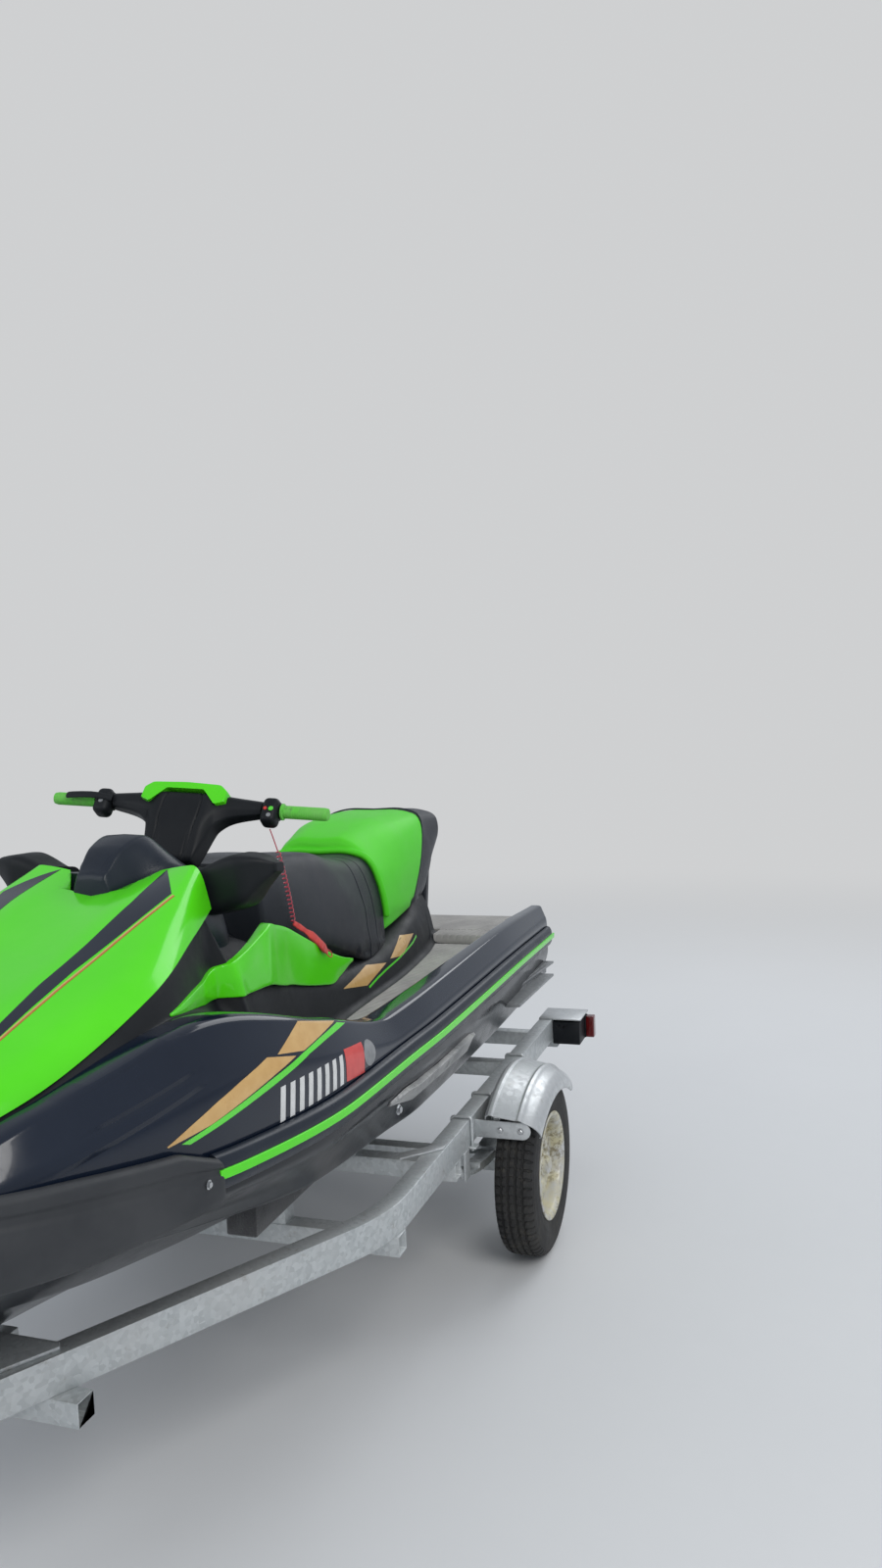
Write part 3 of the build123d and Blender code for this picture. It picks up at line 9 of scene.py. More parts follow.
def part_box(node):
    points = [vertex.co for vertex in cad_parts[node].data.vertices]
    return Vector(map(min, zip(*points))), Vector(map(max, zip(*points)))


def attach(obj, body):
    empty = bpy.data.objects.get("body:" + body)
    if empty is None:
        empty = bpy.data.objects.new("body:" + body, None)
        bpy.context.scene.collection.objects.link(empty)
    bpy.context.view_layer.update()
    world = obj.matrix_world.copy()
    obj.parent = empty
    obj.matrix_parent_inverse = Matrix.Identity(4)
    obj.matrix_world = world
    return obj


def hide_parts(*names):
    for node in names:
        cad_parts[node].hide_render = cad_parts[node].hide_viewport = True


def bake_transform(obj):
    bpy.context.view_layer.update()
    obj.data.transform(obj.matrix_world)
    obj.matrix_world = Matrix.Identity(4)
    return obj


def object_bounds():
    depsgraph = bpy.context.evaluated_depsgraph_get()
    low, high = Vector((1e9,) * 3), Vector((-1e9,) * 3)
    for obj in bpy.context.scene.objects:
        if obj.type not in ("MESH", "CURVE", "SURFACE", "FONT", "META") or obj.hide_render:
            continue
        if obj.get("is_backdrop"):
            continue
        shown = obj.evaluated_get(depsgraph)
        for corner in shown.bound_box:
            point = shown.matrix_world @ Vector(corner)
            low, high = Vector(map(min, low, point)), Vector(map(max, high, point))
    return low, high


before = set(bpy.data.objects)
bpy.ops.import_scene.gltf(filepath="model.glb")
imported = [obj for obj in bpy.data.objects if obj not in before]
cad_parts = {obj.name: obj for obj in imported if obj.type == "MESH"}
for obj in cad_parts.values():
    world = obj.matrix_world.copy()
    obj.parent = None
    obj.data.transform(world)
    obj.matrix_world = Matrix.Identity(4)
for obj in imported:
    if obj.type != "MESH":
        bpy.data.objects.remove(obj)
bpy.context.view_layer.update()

# Personal watercraft on its trailer. Lengths are metres, x to the bow, y to port, z up.
# Craft tables are in millimetres, x from the stern and z from the keel, and are scaled once.
# Trailer tables count x from the craft's stern too, and z from the ground.
mm = 0.001
hullLow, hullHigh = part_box("hull")
craftOrigin = np.array([hullLow.x, 0.0, hullLow.z])
groundOrigin = craftOrigin * [1, 0, 0]
craftBody = "craft_and_trailer"


# Value of every column of a table at x. Between two rows runs a cubic whose slopes are the
# harmonic mean of the slopes on both sides, so that it never overshoots a row.
def alongTable(rows, x):
    xs, ys = rows[:, 0], rows[:, 1:]
    h = np.diff(xs)[:, None]
    d = np.diff(ys, axis=0) / h
    m = np.zeros_like(ys)
    m[0], m[-1] = d[0], d[-1]
    near, far = 2 * h[1:] + h[:-1], h[1:] + 2 * h[:-1]
    with np.errstate(divide="ignore", invalid="ignore"):
        mean = (near + far) / (near / d[:-1] + far / d[1:])
    m[1:-1] = np.where(d[:-1] * d[1:] > 0, mean, 0)
    x = np.clip(np.asarray(x, float), xs[0], xs[-1])
    i = np.clip(np.searchsorted(xs, x, "right") - 1, 0, len(xs) - 2)
    t = ((x - xs[i]) / (xs[i + 1] - xs[i]))[..., None]
    step = h[i]
    return (
        (1 + 2 * t) * (1 - t) ** 2 * ys[i] + t * (1 - t) ** 2 * step * m[i]
        + t * t * (3 - 2 * t) * ys[i + 1] + t * t * (t - 1) * step * m[i + 1]
    )


# Rises from 0 at a to 1 at b along 3t^2 - 2t^3
def smoothStep(x, a, b):
    t = np.clip((np.asarray(x, float) - a) / (b - a), 0, 1)
    return t * t * (3 - 2 * t)


# Each inner corner of an open outline gives way to a parabola, (1-u)^2 A + 2u(1-u) P + u^2 B,
# where A and B lie a share of the way along the corner's two sides. Array: stations, corners, axes.
def roundCorners(points, share, steps=5):
    p = np.asarray(points, float)
    count = p.shape[-2]
    share = np.broadcast_to(share, (count,))
    u = np.linspace(0, 1, steps + 1)[:, None]
    made = [p[..., :1, :]]
    for i in range(1, count - 1):
        corner = p[..., i, None, :]
        a = corner + (p[..., i - 1, None, :] - corner) * share[i]
        b = corner + (p[..., i + 1, None, :] - corner) * share[i]
        made.append((1 - u) ** 2 * a + 2 * u * (1 - u) * corner + u * u * b)
    made.append(p[..., -1:, :])
    return np.concatenate(made, -2)


# The same for a closed outline, all of its corners
def roundRing(points, share, steps=5):
    p = np.asarray(points, float)
    closed = np.concatenate([p[..., -1:, :], p, p[..., :1, :]], -2)
    share = np.broadcast_to(share, (p.shape[-2],))
    return roundCorners(closed, np.concatenate([[0], share, [0]]), steps)[..., 1:-1, :]


# A half outline from the bottom centre to the top centre, y first, closed with its mirror image
def bothSides(half):
    other = half[..., -2:0:-1, :] * np.array([-1.0, 1.0])
    return np.concatenate([half, other], -2)


# Corners given as curves (y, z) over all stations become one array: stations, corners, axes
def sectionsOf(corners):
    return np.stack([np.stack(c, -1) for c in corners], 1)


# Sections of (y, z) at the places x make one grid of points in the craft's own frame
def stationGrid(x, sections):
    x = np.broadcast_to(np.asarray(x, float)[:, None], sections.shape[:2])
    return np.concatenate([x[..., None], sections], -1) + craftOrigin


def meshObject(name, verts, faces):
    mesh = bpy.data.meshes.new(name)
    mesh.from_pydata(np.asarray(verts).tolist(), [], faces)
    mesh.validate()
    obj = bpy.data.objects.new(name, mesh)
    bpy.context.scene.collection.objects.link(obj)
    return obj


# Quads between neighbouring points of a grid: rows run along the piece, columns round it
def gridFaces(rows, cols, around=False, along=False, start=0):
    i = np.arange(rows if along else rows - 1)[:, None]
    j = np.arange(cols if around else cols - 1)[None]
    i2, j2 = (i + 1) % rows, (j + 1) % cols
    quads = np.stack([i * cols + j, i2 * cols + j, i2 * cols + j2, i * cols + j2], -1)
    return (quads.reshape(-1, 4) + start).tolist()


# Flat faces over a grid's first and last rows
def endFaces(rows, cols, start=0):
    first = list(range(start, start + cols))
    return [first, [k + (rows - 1) * cols for k in reversed(first)]]


# Shades a mesh smooth up to an angle, its faces turned outwards
def smoothed(obj, angle=35.0):
    mesh = obj.data
    bm = bmesh.new()
    bm.from_mesh(mesh)
    bmesh.ops.recalc_face_normals(bm, faces=bm.faces)
    bm.to_mesh(mesh)
    bm.free()
    mesh.shade_smooth()
    mesh.set_sharp_from_angle(angle=math.radians(angle))
    return obj


# A closed skin through a grid of rings, with a flat face over each end
def ringSkin(name, grid, angle=35.0):
    rows, cols = grid.shape[:2]
    faces = gridFaces(rows, cols, around=True) + endFaces(rows, cols)
    return smoothed(meshObject(name, grid.reshape(-1, 3), faces), angle)


# An open skin through a grid, given a wall by Solidify
def wallSkin(name, grid, wall, angle=35.0, offset=-1.0):
    rows, cols = grid.shape[:2]
    obj = smoothed(meshObject(name, grid.reshape(-1, 3), gridFaces(rows, cols)), angle)
    return settled(addSolid(obj, wall, offset))


def addSolid(obj, wall, offset=-1.0):
    solid = obj.modifiers.new("wall", "SOLIDIFY")
    solid.thickness, solid.offset, solid.use_even_offset = wall, offset, True
    return obj


# Makes an object's modifiers part of its mesh
def settled(obj):
    bpy.context.view_layer.update()
    ready = obj.evaluated_get(bpy.context.evaluated_depsgraph_get())
    mesh = bpy.data.meshes.new_from_object(ready)
    obj.modifiers.clear()
    obj.data = mesh
    return obj


def boxObject(name, low, high):
    faces = [[0, 1, 3, 2], [4, 6, 7, 5], [0, 4, 5, 1], [2, 3, 7, 6], [0, 2, 6, 4], [1, 5, 7, 3]]
    return meshObject(name, list(product(*zip(low, high))), faces)


# A box from its spans along x, y and z in millimetres
def spanBox(name, *spans, origin=craftOrigin):
    low, high = np.array(spans, float).T * mm + origin
    return boxObject(name, low, high)


# A prism with an outline in two axes, pulled along the third
def prismObject(name, outline, axis, low, high):
    points = np.concatenate([np.insert(outline, axis, place, axis=1) for place in (low, high)])
    count = len(outline)
    faces = gridFaces(2, count, around=True) + endFaces(2, count)
    return smoothed(meshObject(name, points, faces))


# Takes the cutters out of an object and deletes them
def carve(obj, *cutters):
    for i, cutter in enumerate(cutters):
        cut = obj.modifiers.new(f"cut{i}", "BOOLEAN")
        cut.operation, cut.solver, cut.object = "DIFFERENCE", "EXACT", cutter
    settled(obj)
    for cutter in cutters:
        bpy.data.objects.remove(cutter)
    return obj


def bevelled(obj, width, segments=2, angle=30.0):
    bevel = obj.modifiers.new("edge", "BEVEL")
    bevel.width, bevel.segments, bevel.limit_method = width, segments, "ANGLE"
    bevel.angle_limit = math.radians(angle)
    settled(obj)
    obj.data.shade_smooth()
    obj.data.set_sharp_from_angle(angle=math.radians(40))
    return obj


# A copy of a CAD piece with its triangles merged and its edges rounded
def softEdged(name, node, width, segments=2, angle=30.0):
    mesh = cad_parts[node].data.copy()
    bm = bmesh.new()
    bm.from_mesh(mesh)
    bmesh.ops.remove_doubles(bm, verts=bm.verts, dist=0.00002)
    bmesh.ops.dissolve_limit(bm, angle_limit=math.radians(0.5), verts=bm.verts, edges=bm.edges)
    bm.to_mesh(mesh)
    bm.free()
    obj = bpy.data.objects.new(name, mesh)
    bpy.context.scene.collection.objects.link(obj)
    return bevelled(obj, width, segments, angle)


# The piece's mesh and its mirror image across y = 0 as one object
def withMirror(obj):
    bm = bmesh.new()
    bm.from_mesh(obj.data)
    kept = list(bm.verts) + list(bm.edges) + list(bm.faces)
    copy = bmesh.ops.duplicate(bm, geom=kept)["geom"]
    bmesh.ops.scale(bm, vec=(1, -1, 1), verts=[g for g in copy if isinstance(g, bmesh.types.BMVert)])
    bmesh.ops.reverse_faces(bm, faces=[g for g in copy if isinstance(g, bmesh.types.BMFace)])
    bm.to_mesh(obj.data)
    bm.free()
    return obj


def joined(name, objects):
    bpy.ops.object.select_all(action="DESELECT")
    for obj in objects:
        obj.select_set(True)
    bpy.context.view_layer.objects.active = objects[0]
    bpy.ops.object.join()
    objects[0].name = name
    return objects[0]


# Round section carried along a path; the section's frame turns with the path and never twists
def tubeGrid(path, radius, sides=12):
    path = np.asarray(path, float)
    radius = np.broadcast_to(radius, (len(path),))
    tangent = np.gradient(path, axis=0)
    tangent /= np.linalg.norm(tangent, axis=1)[:, None]
    start = np.cross(tangent[0], (0, 0, 1) if abs(tangent[0][2]) < 0.9 else (0, 1, 0))
    normals = [start / np.linalg.norm(start)]
    for t in tangent[1:]:
        n = normals[-1] - t * normals[-1].dot(t)
        normals.append(n / np.linalg.norm(n))
    normals = np.array(normals)
    across = np.cross(tangent, normals)
    a = np.linspace(0, 2 * np.pi, sides, endpoint=False)
    ring = np.cos(a)[None, :, None] * normals[:, None] + np.sin(a)[None, :, None] * across[:, None]
    return path[:, None] + ring * radius[:, None, None]


def tubeObject(name, path, radius, sides=12):
    return ringSkin(name, tubeGrid(path, radius, sides), angle=50)


# A profile of (place along the axis, radius) turned about the axis through a centre
def turnedObject(name, profile, axis, centre, sides=48, closed=True, angle=35.0):
    profile = np.asarray(profile, float)
    a = np.linspace(0, 2 * np.pi, sides, endpoint=False)
    u, v = [(1, 2), (2, 0), (0, 1)][axis]
    grid = np.zeros((len(profile), sides, 3))
    grid[..., axis] = profile[:, 0, None]
    grid[..., u] = profile[:, 1, None] * np.cos(a)
    grid[..., v] = profile[:, 1, None] * np.sin(a)
    grid += np.asarray(centre, float)
    faces = gridFaces(len(profile), sides, around=True, along=closed)
    if not closed:
        faces += endFaces(len(profile), sides)
    return smoothed(meshObject(name, grid.reshape(-1, 3), faces), angle)


# Copies of a small form at given places, each turned so that its z runs along a given direction
def scattered(name, verts, faces, places, directions, turn=0.0):
    verts, places = np.asarray(verts, float), np.asarray(places, float)
    z = np.asarray(directions, float)
    z = z / np.linalg.norm(z, axis=1)[:, None]
    helper = np.where(np.abs(z[:, 2:]) < 0.9, [[0.0, 0, 1]], [[1.0, 0, 0]])
    x = np.cross(helper, z)
    x /= np.linalg.norm(x, axis=1)[:, None]
    y = np.cross(z, x)
    c, s = math.cos(turn), math.sin(turn)
    x, y = c * x + s * y, c * y - s * x
    basis = np.stack([x, y, z], 1)
    points = places[:, None] + np.einsum("vk,nkc->nvc", verts, basis)
    count = len(verts)
    every = [[v + n * count for v in f] for n in range(len(places)) for f in faces]
    return smoothed(meshObject(name, points.reshape(-1, 3), every), 30)


# Six or more points of a circle of radius one
def circle(sides):
    a = np.linspace(0, 2 * np.pi, sides, endpoint=False)
    return np.stack([np.cos(a), np.sin(a)], 1)


# Hexagon head on its washer, seen along z. Rows: ring, height, both as shares of the radius
def boltForm(radius):
    washer = [(circle(12) * 1.5, 0.0), (circle(12) * 1.5, 0.18)]
    head = [(circle(6), 0.18), (circle(6), 0.8), (circle(6) * 0.82, 0.95)]
    verts, faces, start = [], [], 0
    for part in (washer, head):
        verts += [np.insert(ring, 2, z, axis=1) * radius for ring, z in part]
        rows, cols = len(part), len(part[0][0])
        faces += gridFaces(rows, cols, around=True, start=start) + endFaces(rows, cols, start)
        start += rows * cols
    return np.concatenate(verts), faces


def painted(obj, *names):
    for name in names:
        obj.data.materials.append(finishes[name])
    return obj


# Finish, material slot (not used), the CAD pieces that it stands for and the body that it moves with
def dress(obj, finish, slot, *nodes, body=craftBody):
    if finish:
        obj.data.materials.clear()
        painted(obj, finish)
    if nodes:
        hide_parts(*nodes)
    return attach(obj, body)


print("stage: tools ready")


# Shader nodes. An input takes a plain value or another node's socket.
def addNode(tree, kind, inputs=None, **settings):
    node = tree.nodes.new(kind)
    for key, value in settings.items():
        setattr(node, key, value)
    for key, value in (inputs or {}).items():
        if isinstance(value, bpy.types.NodeSocket):
            tree.links.new(value, node.inputs[key])
        else:
            node.inputs[key].default_value = value
    return node


def noiseOf(tree, place, scale, detail=4.0, rough=0.55, stretch=None):
    if stretch:
        place = addNode(tree, "ShaderNodeMapping", {"Vector": place, "Scale": stretch}).outputs[0]
    inputs = {"Vector": place, "Scale": scale, "Detail": detail, "Roughness": rough}
    return addNode(tree, "ShaderNodeTexNoise", inputs).outputs[0]


def spread(tree, value, low, high, toLow=0.0, toHigh=1.0):
    inputs = {"Value": value, "From Min": low, "From Max": high, "To Min": toLow, "To Max": toHigh}
    return addNode(tree, "ShaderNodeMapRange", inputs, clamp=True).outputs[0]


# One colour over another by a share; each is a plain colour or a socket
def mixed(tree, share, first, second):
    node = addNode(tree, "ShaderNodeMix", {0: share}, data_type="RGBA")
    for index, value in ((6, first), (7, second)):
        if isinstance(value, bpy.types.NodeSocket):
            tree.links.new(value, node.inputs[index])
        else:
            node.inputs[index].default_value = (*value[:3], 1)
    return node.outputs[2]


def calc(tree, operation, a, b=0.5):
    return addNode(tree, "ShaderNodeMath", {0: a, 1: b}, operation=operation).outputs[0]


# A new colour over the old one by the product of two shares
def tinted(tree, colour, new, share, amount):
    return mixed(tree, calc(tree, "MULTIPLY", share, amount), colour, new)


def raised(tree, height, distance, under=None):
    inputs = {"Height": height, "Distance": distance, "Strength": 1.0}
    if under is not None:
        inputs["Normal"] = under
    return addNode(tree, "ShaderNodeBump", inputs).outputs[0]


# Height of a crease along a line in the side view, given in craft millimetres, that fades at its ends:
# (1 + s / w) (1 - s / w) within w of the line, with s the distance from it, times min(1, 5t, 5 - 5t)
# for the share t along it
def creaseHeight(tree, place, start, end, width):
    start, end = (np.array([p[0], 0, p[1]]) * mm + craftOrigin * [1, 0, 1] for p in (start, end))
    length = np.linalg.norm(end - start)
    along = (end - start) / length
    away = addNode(tree, "ShaderNodeVectorMath", {0: place, 1: tuple(start)}, operation="SUBTRACT").outputs[0]
    share, side = (
        addNode(tree, "ShaderNodeVectorMath", {0: away, 1: tuple(v)}, operation="DOT_PRODUCT").outputs[1]
        for v in (along / length, (-along[2], 0, along[0]))
    )
    tail = calc(tree, "SUBTRACT", 1.0, spread(tree, share, 0.8, 1.0))
    inside = calc(tree, "MULTIPLY", spread(tree, share, 0.0, 0.2), tail)
    fall = calc(tree, "SUBTRACT", 1.0, spread(tree, side, 0.0, width * mm))
    ridge = calc(tree, "MULTIPLY", spread(tree, side, -width * mm, 0.0), fall)
    return calc(tree, "MULTIPLY", ridge, inside)


# Material, its nodes, its shader and the place on the object
def newMaterial(name):
    material = bpy.data.materials.new(name)
    material.use_nodes = True
    tree = material.node_tree
    place = addNode(tree, "ShaderNodeTexCoord").outputs["Object"]
    return material, tree, tree.nodes["Principled BSDF"], place


# Height of one layer of relief. Layers: kind, scale, distance in metres and what the kind needs
def reliefHeight(tree, place, kind, scale, *more):
    if kind == "noise":
        return noiseOf(tree, place, scale, 5.0, 0.6, *more)
    if kind == "crease":
        return creaseHeight(tree, place, *more, scale)
    feature = {"cells": "SMOOTH_F1", "edges": "DISTANCE_TO_EDGE"}[kind]
    inputs = {"Vector": place, "Scale": scale}
    cells = addNode(tree, "ShaderNodeTexVoronoi", inputs, feature=feature).outputs[0]
    return cells if kind == "cells" else spread(tree, cells, 0.0, 0.12)


socketNames = {
    "coat": "Coat Weight", "coatRough": "Coat Roughness", "specular": "Specular IOR Level",
    "metal": "Metallic", "sheen": "Sheen Weight", "sheenRough": "Sheen Roughness",
}


# A finish from its dictionary: two tones mixed by a soft noise, specks in patches, dust that settles
# on faces that look up, roughness that wanders between two values, and layers of relief
def makeFinish(name, look):
    material, tree, shader, place = newMaterial(name)
    tone = spread(tree, noiseOf(tree, place, look["mottle"], 5.0), 0.35, 0.65)
    colour = mixed(tree, tone, *look["tones"])
    if "speckle" in look:
        new, amount, scale, start, soft = look["speckle"]
        spots = spread(tree, noiseOf(tree, place, scale, 6.0, 0.7), start, start + soft)
        patches = spread(tree, noiseOf(tree, place, scale * 0.12, 3.0), 0.42, 0.6)
        colour = tinted(tree, colour, new, calc(tree, "MULTIPLY", spots, patches), amount)
    if "dust" in look:
        new, amount, scale = look["dust"]
        facing = addNode(tree, "ShaderNodeNewGeometry").outputs["Normal"]
        up = spread(tree, addNode(tree, "ShaderNodeSeparateXYZ", {0: facing}).outputs[2], 0.2, 0.95)
        cloud = spread(tree, noiseOf(tree, place, scale, 6.0, 0.65), 0.35, 0.75)
        colour = tinted(tree, colour, new, calc(tree, "MULTIPLY", up, cloud), amount)
    tree.links.new(colour, shader.inputs["Base Color"])
    rough = spread(tree, noiseOf(tree, place, 14.0, 5.0, 0.6), 0.3, 0.7, *look["rough"])
    tree.links.new(rough, shader.inputs["Roughness"])
    normal = None
    for kind, scale, distance, *more in look.get("relief", ()):
        normal = raised(tree, reliefHeight(tree, place, kind, scale, *more), distance, normal)
    if normal is not None:
        tree.links.new(normal, shader.inputs["Normal"])
    for key, socket in socketNames.items():
        if key in look:
            shader.inputs[socket].default_value = look[key]
    return material


# Dust: colour, amount, scale. Speckle: colour, amount, scale, where it starts in the noise, how soft
finishLooks = {
    "limeGloss": {
        "tones": ((0.105, 0.82, 0.010), (0.090, 0.76, 0.008)), "mottle": 2.2, "rough": (0.16, 0.24),
        "relief": [("noise", 240.0, 0.00004), ("noise", 9.0, 0.0004)],
        "dust": ((0.26, 0.70, 0.14), 0.05, 22.0),
        "coat": 0.25, "coatRough": 0.08, "specular": 0.35,
    },
    "inkGloss": {
        # These near-black tones are the paint's own colour with a blue tint added as painted reflection of a
        # blue sky
        "tones": ((0.005, 0.010, 0.023), (0.008, 0.014, 0.029)), "mottle": 3.0, "rough": (0.10, 0.17),
        "relief": [
            ("noise", 300.0, 0.00003), ("noise", 8.0, 0.0004),
            ("crease", 8.0, 0.004, (2440, 666), (2715, 607)),
            ("crease", 8.0, 0.004, (2440, 573), (2780, 511)),
            ("crease", 6.0, -0.004, (2450, 590), (2730, 546)),
        ],
        "dust": ((0.05, 0.06, 0.07), 0.06, 26.0),
        "coat": 0.35, "coatRough": 0.04, "specular": 0.34,
    },
    "hullGloss": {
        "tones": ((0.006, 0.008, 0.013), (0.011, 0.014, 0.020)), "mottle": 4.0, "rough": (0.15, 0.28),
        "relief": [("noise", 300.0, 0.00004), ("noise", 6.0, 0.0006)],
        "speckle": ((0.10, 0.10, 0.10), 0.10, 90.0, 0.60, 0.1),
        "coat": 0.1, "coatRough": 0.12, "specular": 0.3,
    },
    "mattPlastic": {
        "tones": ((0.008, 0.0095, 0.012), (0.013, 0.015, 0.018)), "mottle": 7.0, "rough": (0.38, 0.56),
        "relief": [("noise", 1400.0, 0.00016), ("cells", 900.0, 0.00008)],
        "dust": ((0.06, 0.06, 0.06), 0.09, 18.0),
        "specular": 0.22,
    },
    "railPlastic": {
        "tones": ((0.012, 0.017, 0.028), (0.020, 0.026, 0.038)), "mottle": 5.0, "rough": (0.24, 0.38),
        "relief": [("noise", 900.0, 0.00014)],
        "dust": ((0.07, 0.08, 0.09), 0.10, 20.0),
        "specular": 0.32,
    },
    "guardGrey": {
        "tones": ((0.034, 0.037, 0.042), (0.050, 0.053, 0.058)), "mottle": 6.0, "rough": (0.44, 0.60),
        "relief": [("noise", 1100.0, 0.00016)],
        "dust": ((0.12, 0.12, 0.12), 0.2, 16.0),
        "specular": 0.3,
    },
    "seatBlack": {
        "tones": ((0.009, 0.012, 0.019), (0.014, 0.018, 0.026)), "mottle": 5.0, "rough": (0.32, 0.44),
        "relief": [("edges", 420.0, 0.00028), ("noise", 1500.0, 0.00006), ("noise", 16.0, 0.0006)],
        "dust": ((0.06, 0.065, 0.07), 0.07, 14.0),
        "sheen": 0.04, "sheenRough": 0.5, "specular": 0.35,
    },
    "seatLime": {
        "tones": ((0.100, 0.80, 0.018), (0.085, 0.74, 0.014)), "mottle": 4.0, "rough": (0.34, 0.46),
        "relief": [("edges", 420.0, 0.00024), ("noise", 1500.0, 0.00005), ("noise", 16.0, 0.0005)],
        "dust": ((0.20, 0.58, 0.14), 0.08, 14.0),
        "sheen": 0.03, "sheenRough": 0.5, "specular": 0.35,
    },
    "footMat": {
        "tones": ((0.33, 0.32, 0.31), (0.42, 0.41, 0.39)), "mottle": 10.0, "rough": (0.80, 0.93),
        "relief": [("noise", 700.0, 0.0005), ("cells", 320.0, 0.0003)],
        "speckle": ((0.17, 0.165, 0.15), 0.4, 30.0, 0.55, 0.15),
    },
    "tanFilm": {
        "tones": ((0.62, 0.37, 0.125), (0.68, 0.43, 0.16)), "mottle": 30.0, "rough": (0.26, 0.34),
        "relief": [("noise", 900.0, 0.00003)],
        "coat": 0.5, "coatRough": 0.08,
    },
    "limeFilm": {
        "tones": ((0.10, 0.78, 0.03), (0.12, 0.72, 0.05)), "mottle": 30.0, "rough": (0.22, 0.32),
        "coat": 0.5, "coatRough": 0.08,
    },
    "whiteFilm": {
        "tones": ((0.74, 0.75, 0.75), (0.66, 0.67, 0.66)), "mottle": 40.0, "rough": (0.30, 0.42),
        "relief": [("noise", 500.0, 0.00004)],
        "coat": 0.3,
    },
    "redFilm": {
        "tones": ((0.62, 0.035, 0.03), (0.70, 0.06, 0.05)), "mottle": 40.0, "rough": (0.28, 0.40),
        "coat": 0.4,
    },
    "greyFilm": {
        "tones": ((0.20, 0.21, 0.22), (0.28, 0.29, 0.30)), "mottle": 60.0, "rough": (0.3, 0.4),
    },
    "silverPlastic": {
        "tones": ((0.30, 0.305, 0.31), (0.55, 0.55, 0.54)), "mottle": 9.0, "rough": (0.3, 0.5),
        "speckle": ((0.06, 0.06, 0.065), 0.6, 70.0, 0.50, 0.12),
        "relief": [("noise", 400.0, 0.0004, (0.25, 1, 1)), ("noise", 40.0, 0.0012, (0.3, 1, 1))],
        "metal": 0.2,
    },
    "steel": {
        "tones": ((0.58, 0.59, 0.60), (0.50, 0.51, 0.52)), "mottle": 20.0, "rough": (0.20, 0.34),
        "relief": [("noise", 600.0, 0.00003)], "metal": 1.0,
    },
    "castMetal": {
        "tones": ((0.30, 0.31, 0.32), (0.38, 0.39, 0.39)), "mottle": 12.0, "rough": (0.45, 0.62),
        "relief": [("noise", 500.0, 0.0003)], "metal": 0.8,
        "speckle": ((0.42, 0.42, 0.38), 0.6, 60.0, 0.55, 0.12),
    },
    "tyreRubber": {
        "tones": ((0.017, 0.017, 0.018), (0.032, 0.031, 0.029)), "mottle": 9.0, "rough": (0.66, 0.86),
        "relief": [("noise", 500.0, 0.0003), ("noise", 60.0, 0.0004)],
        "speckle": ((0.11, 0.095, 0.07), 0.45, 45.0, 0.52, 0.2),
    },
    "rimSilver": {
        "tones": ((0.62, 0.63, 0.64), (0.66, 0.62, 0.44)), "mottle": 26.0, "rough": (0.34, 0.60),
        "relief": [("noise", 300.0, 0.0003)], "metal": 0.3,
        "speckle": ((0.26, 0.22, 0.13), 0.85, 75.0, 0.47, 0.1),
    },
    "bunkCarpet": {
        "tones": ((0.045, 0.046, 0.050), (0.075, 0.076, 0.08)), "mottle": 30.0, "rough": (0.88, 0.97),
        "relief": [("noise", 420.0, 0.0022), ("cells", 260.0, 0.0012)],
        "sheen": 0.5, "sheenRough": 0.6,
    },
    "redLens": {
        "tones": ((0.14, 0.004, 0.005), (0.10, 0.003, 0.004)), "mottle": 60.0, "rough": (0.10, 0.2),
        "relief": [("cells", 260.0, 0.0006)], "coat": 0.8,
    },
    "gripRubber": {
        "tones": ((0.12, 0.62, 0.05), (0.16, 0.55, 0.09)), "mottle": 30.0, "rough": (0.55, 0.72),
        "relief": [("cells", 700.0, 0.0004)],
        "speckle": ((0.09, 0.22, 0.07), 0.5, 80.0, 0.52, 0.15),
    },
    "lanyardRed": {
        "tones": ((0.66, 0.05, 0.035), (0.54, 0.03, 0.03)), "mottle": 50.0, "rough": (0.62, 0.8),
        "relief": [("cells", 900.0, 0.0004), ("noise", 60.0, 0.0008)],
        "sheen": 0.3,
    },
    "cordRed": {
        "tones": ((0.42, 0.02, 0.045), (0.55, 0.06, 0.10)), "mottle": 120.0, "rough": (0.28, 0.4),
        "coat": 0.4,
    },
    "blockPaint": {
        "tones": ((0.10, 0.10, 0.105), (0.14, 0.14, 0.145)), "mottle": 8.0, "rough": (0.55, 0.7),
        "relief": [("noise", 300.0, 0.0005)],
    },
    "mirrorGlass": {
        "tones": ((0.62, 0.65, 0.68), (0.58, 0.62, 0.66)), "mottle": 9.0, "rough": (0.02, 0.05),
        "metal": 1.0,
    },
    "screenGlass": {
        "tones": ((0.012, 0.016, 0.020), (0.018, 0.024, 0.028)), "mottle": 4.0, "rough": (0.05, 0.09),
        "coat": 1.0, "coatRough": 0.02,
    },
    "rust": {
        "tones": ((0.33, 0.10, 0.025), (0.20, 0.06, 0.02)), "mottle": 70.0, "rough": (0.8, 0.95),
        "relief": [("noise", 400.0, 0.0008)],
    },
}
finishes = {name: makeFinish(name, look) for name, look in finishLooks.items()}


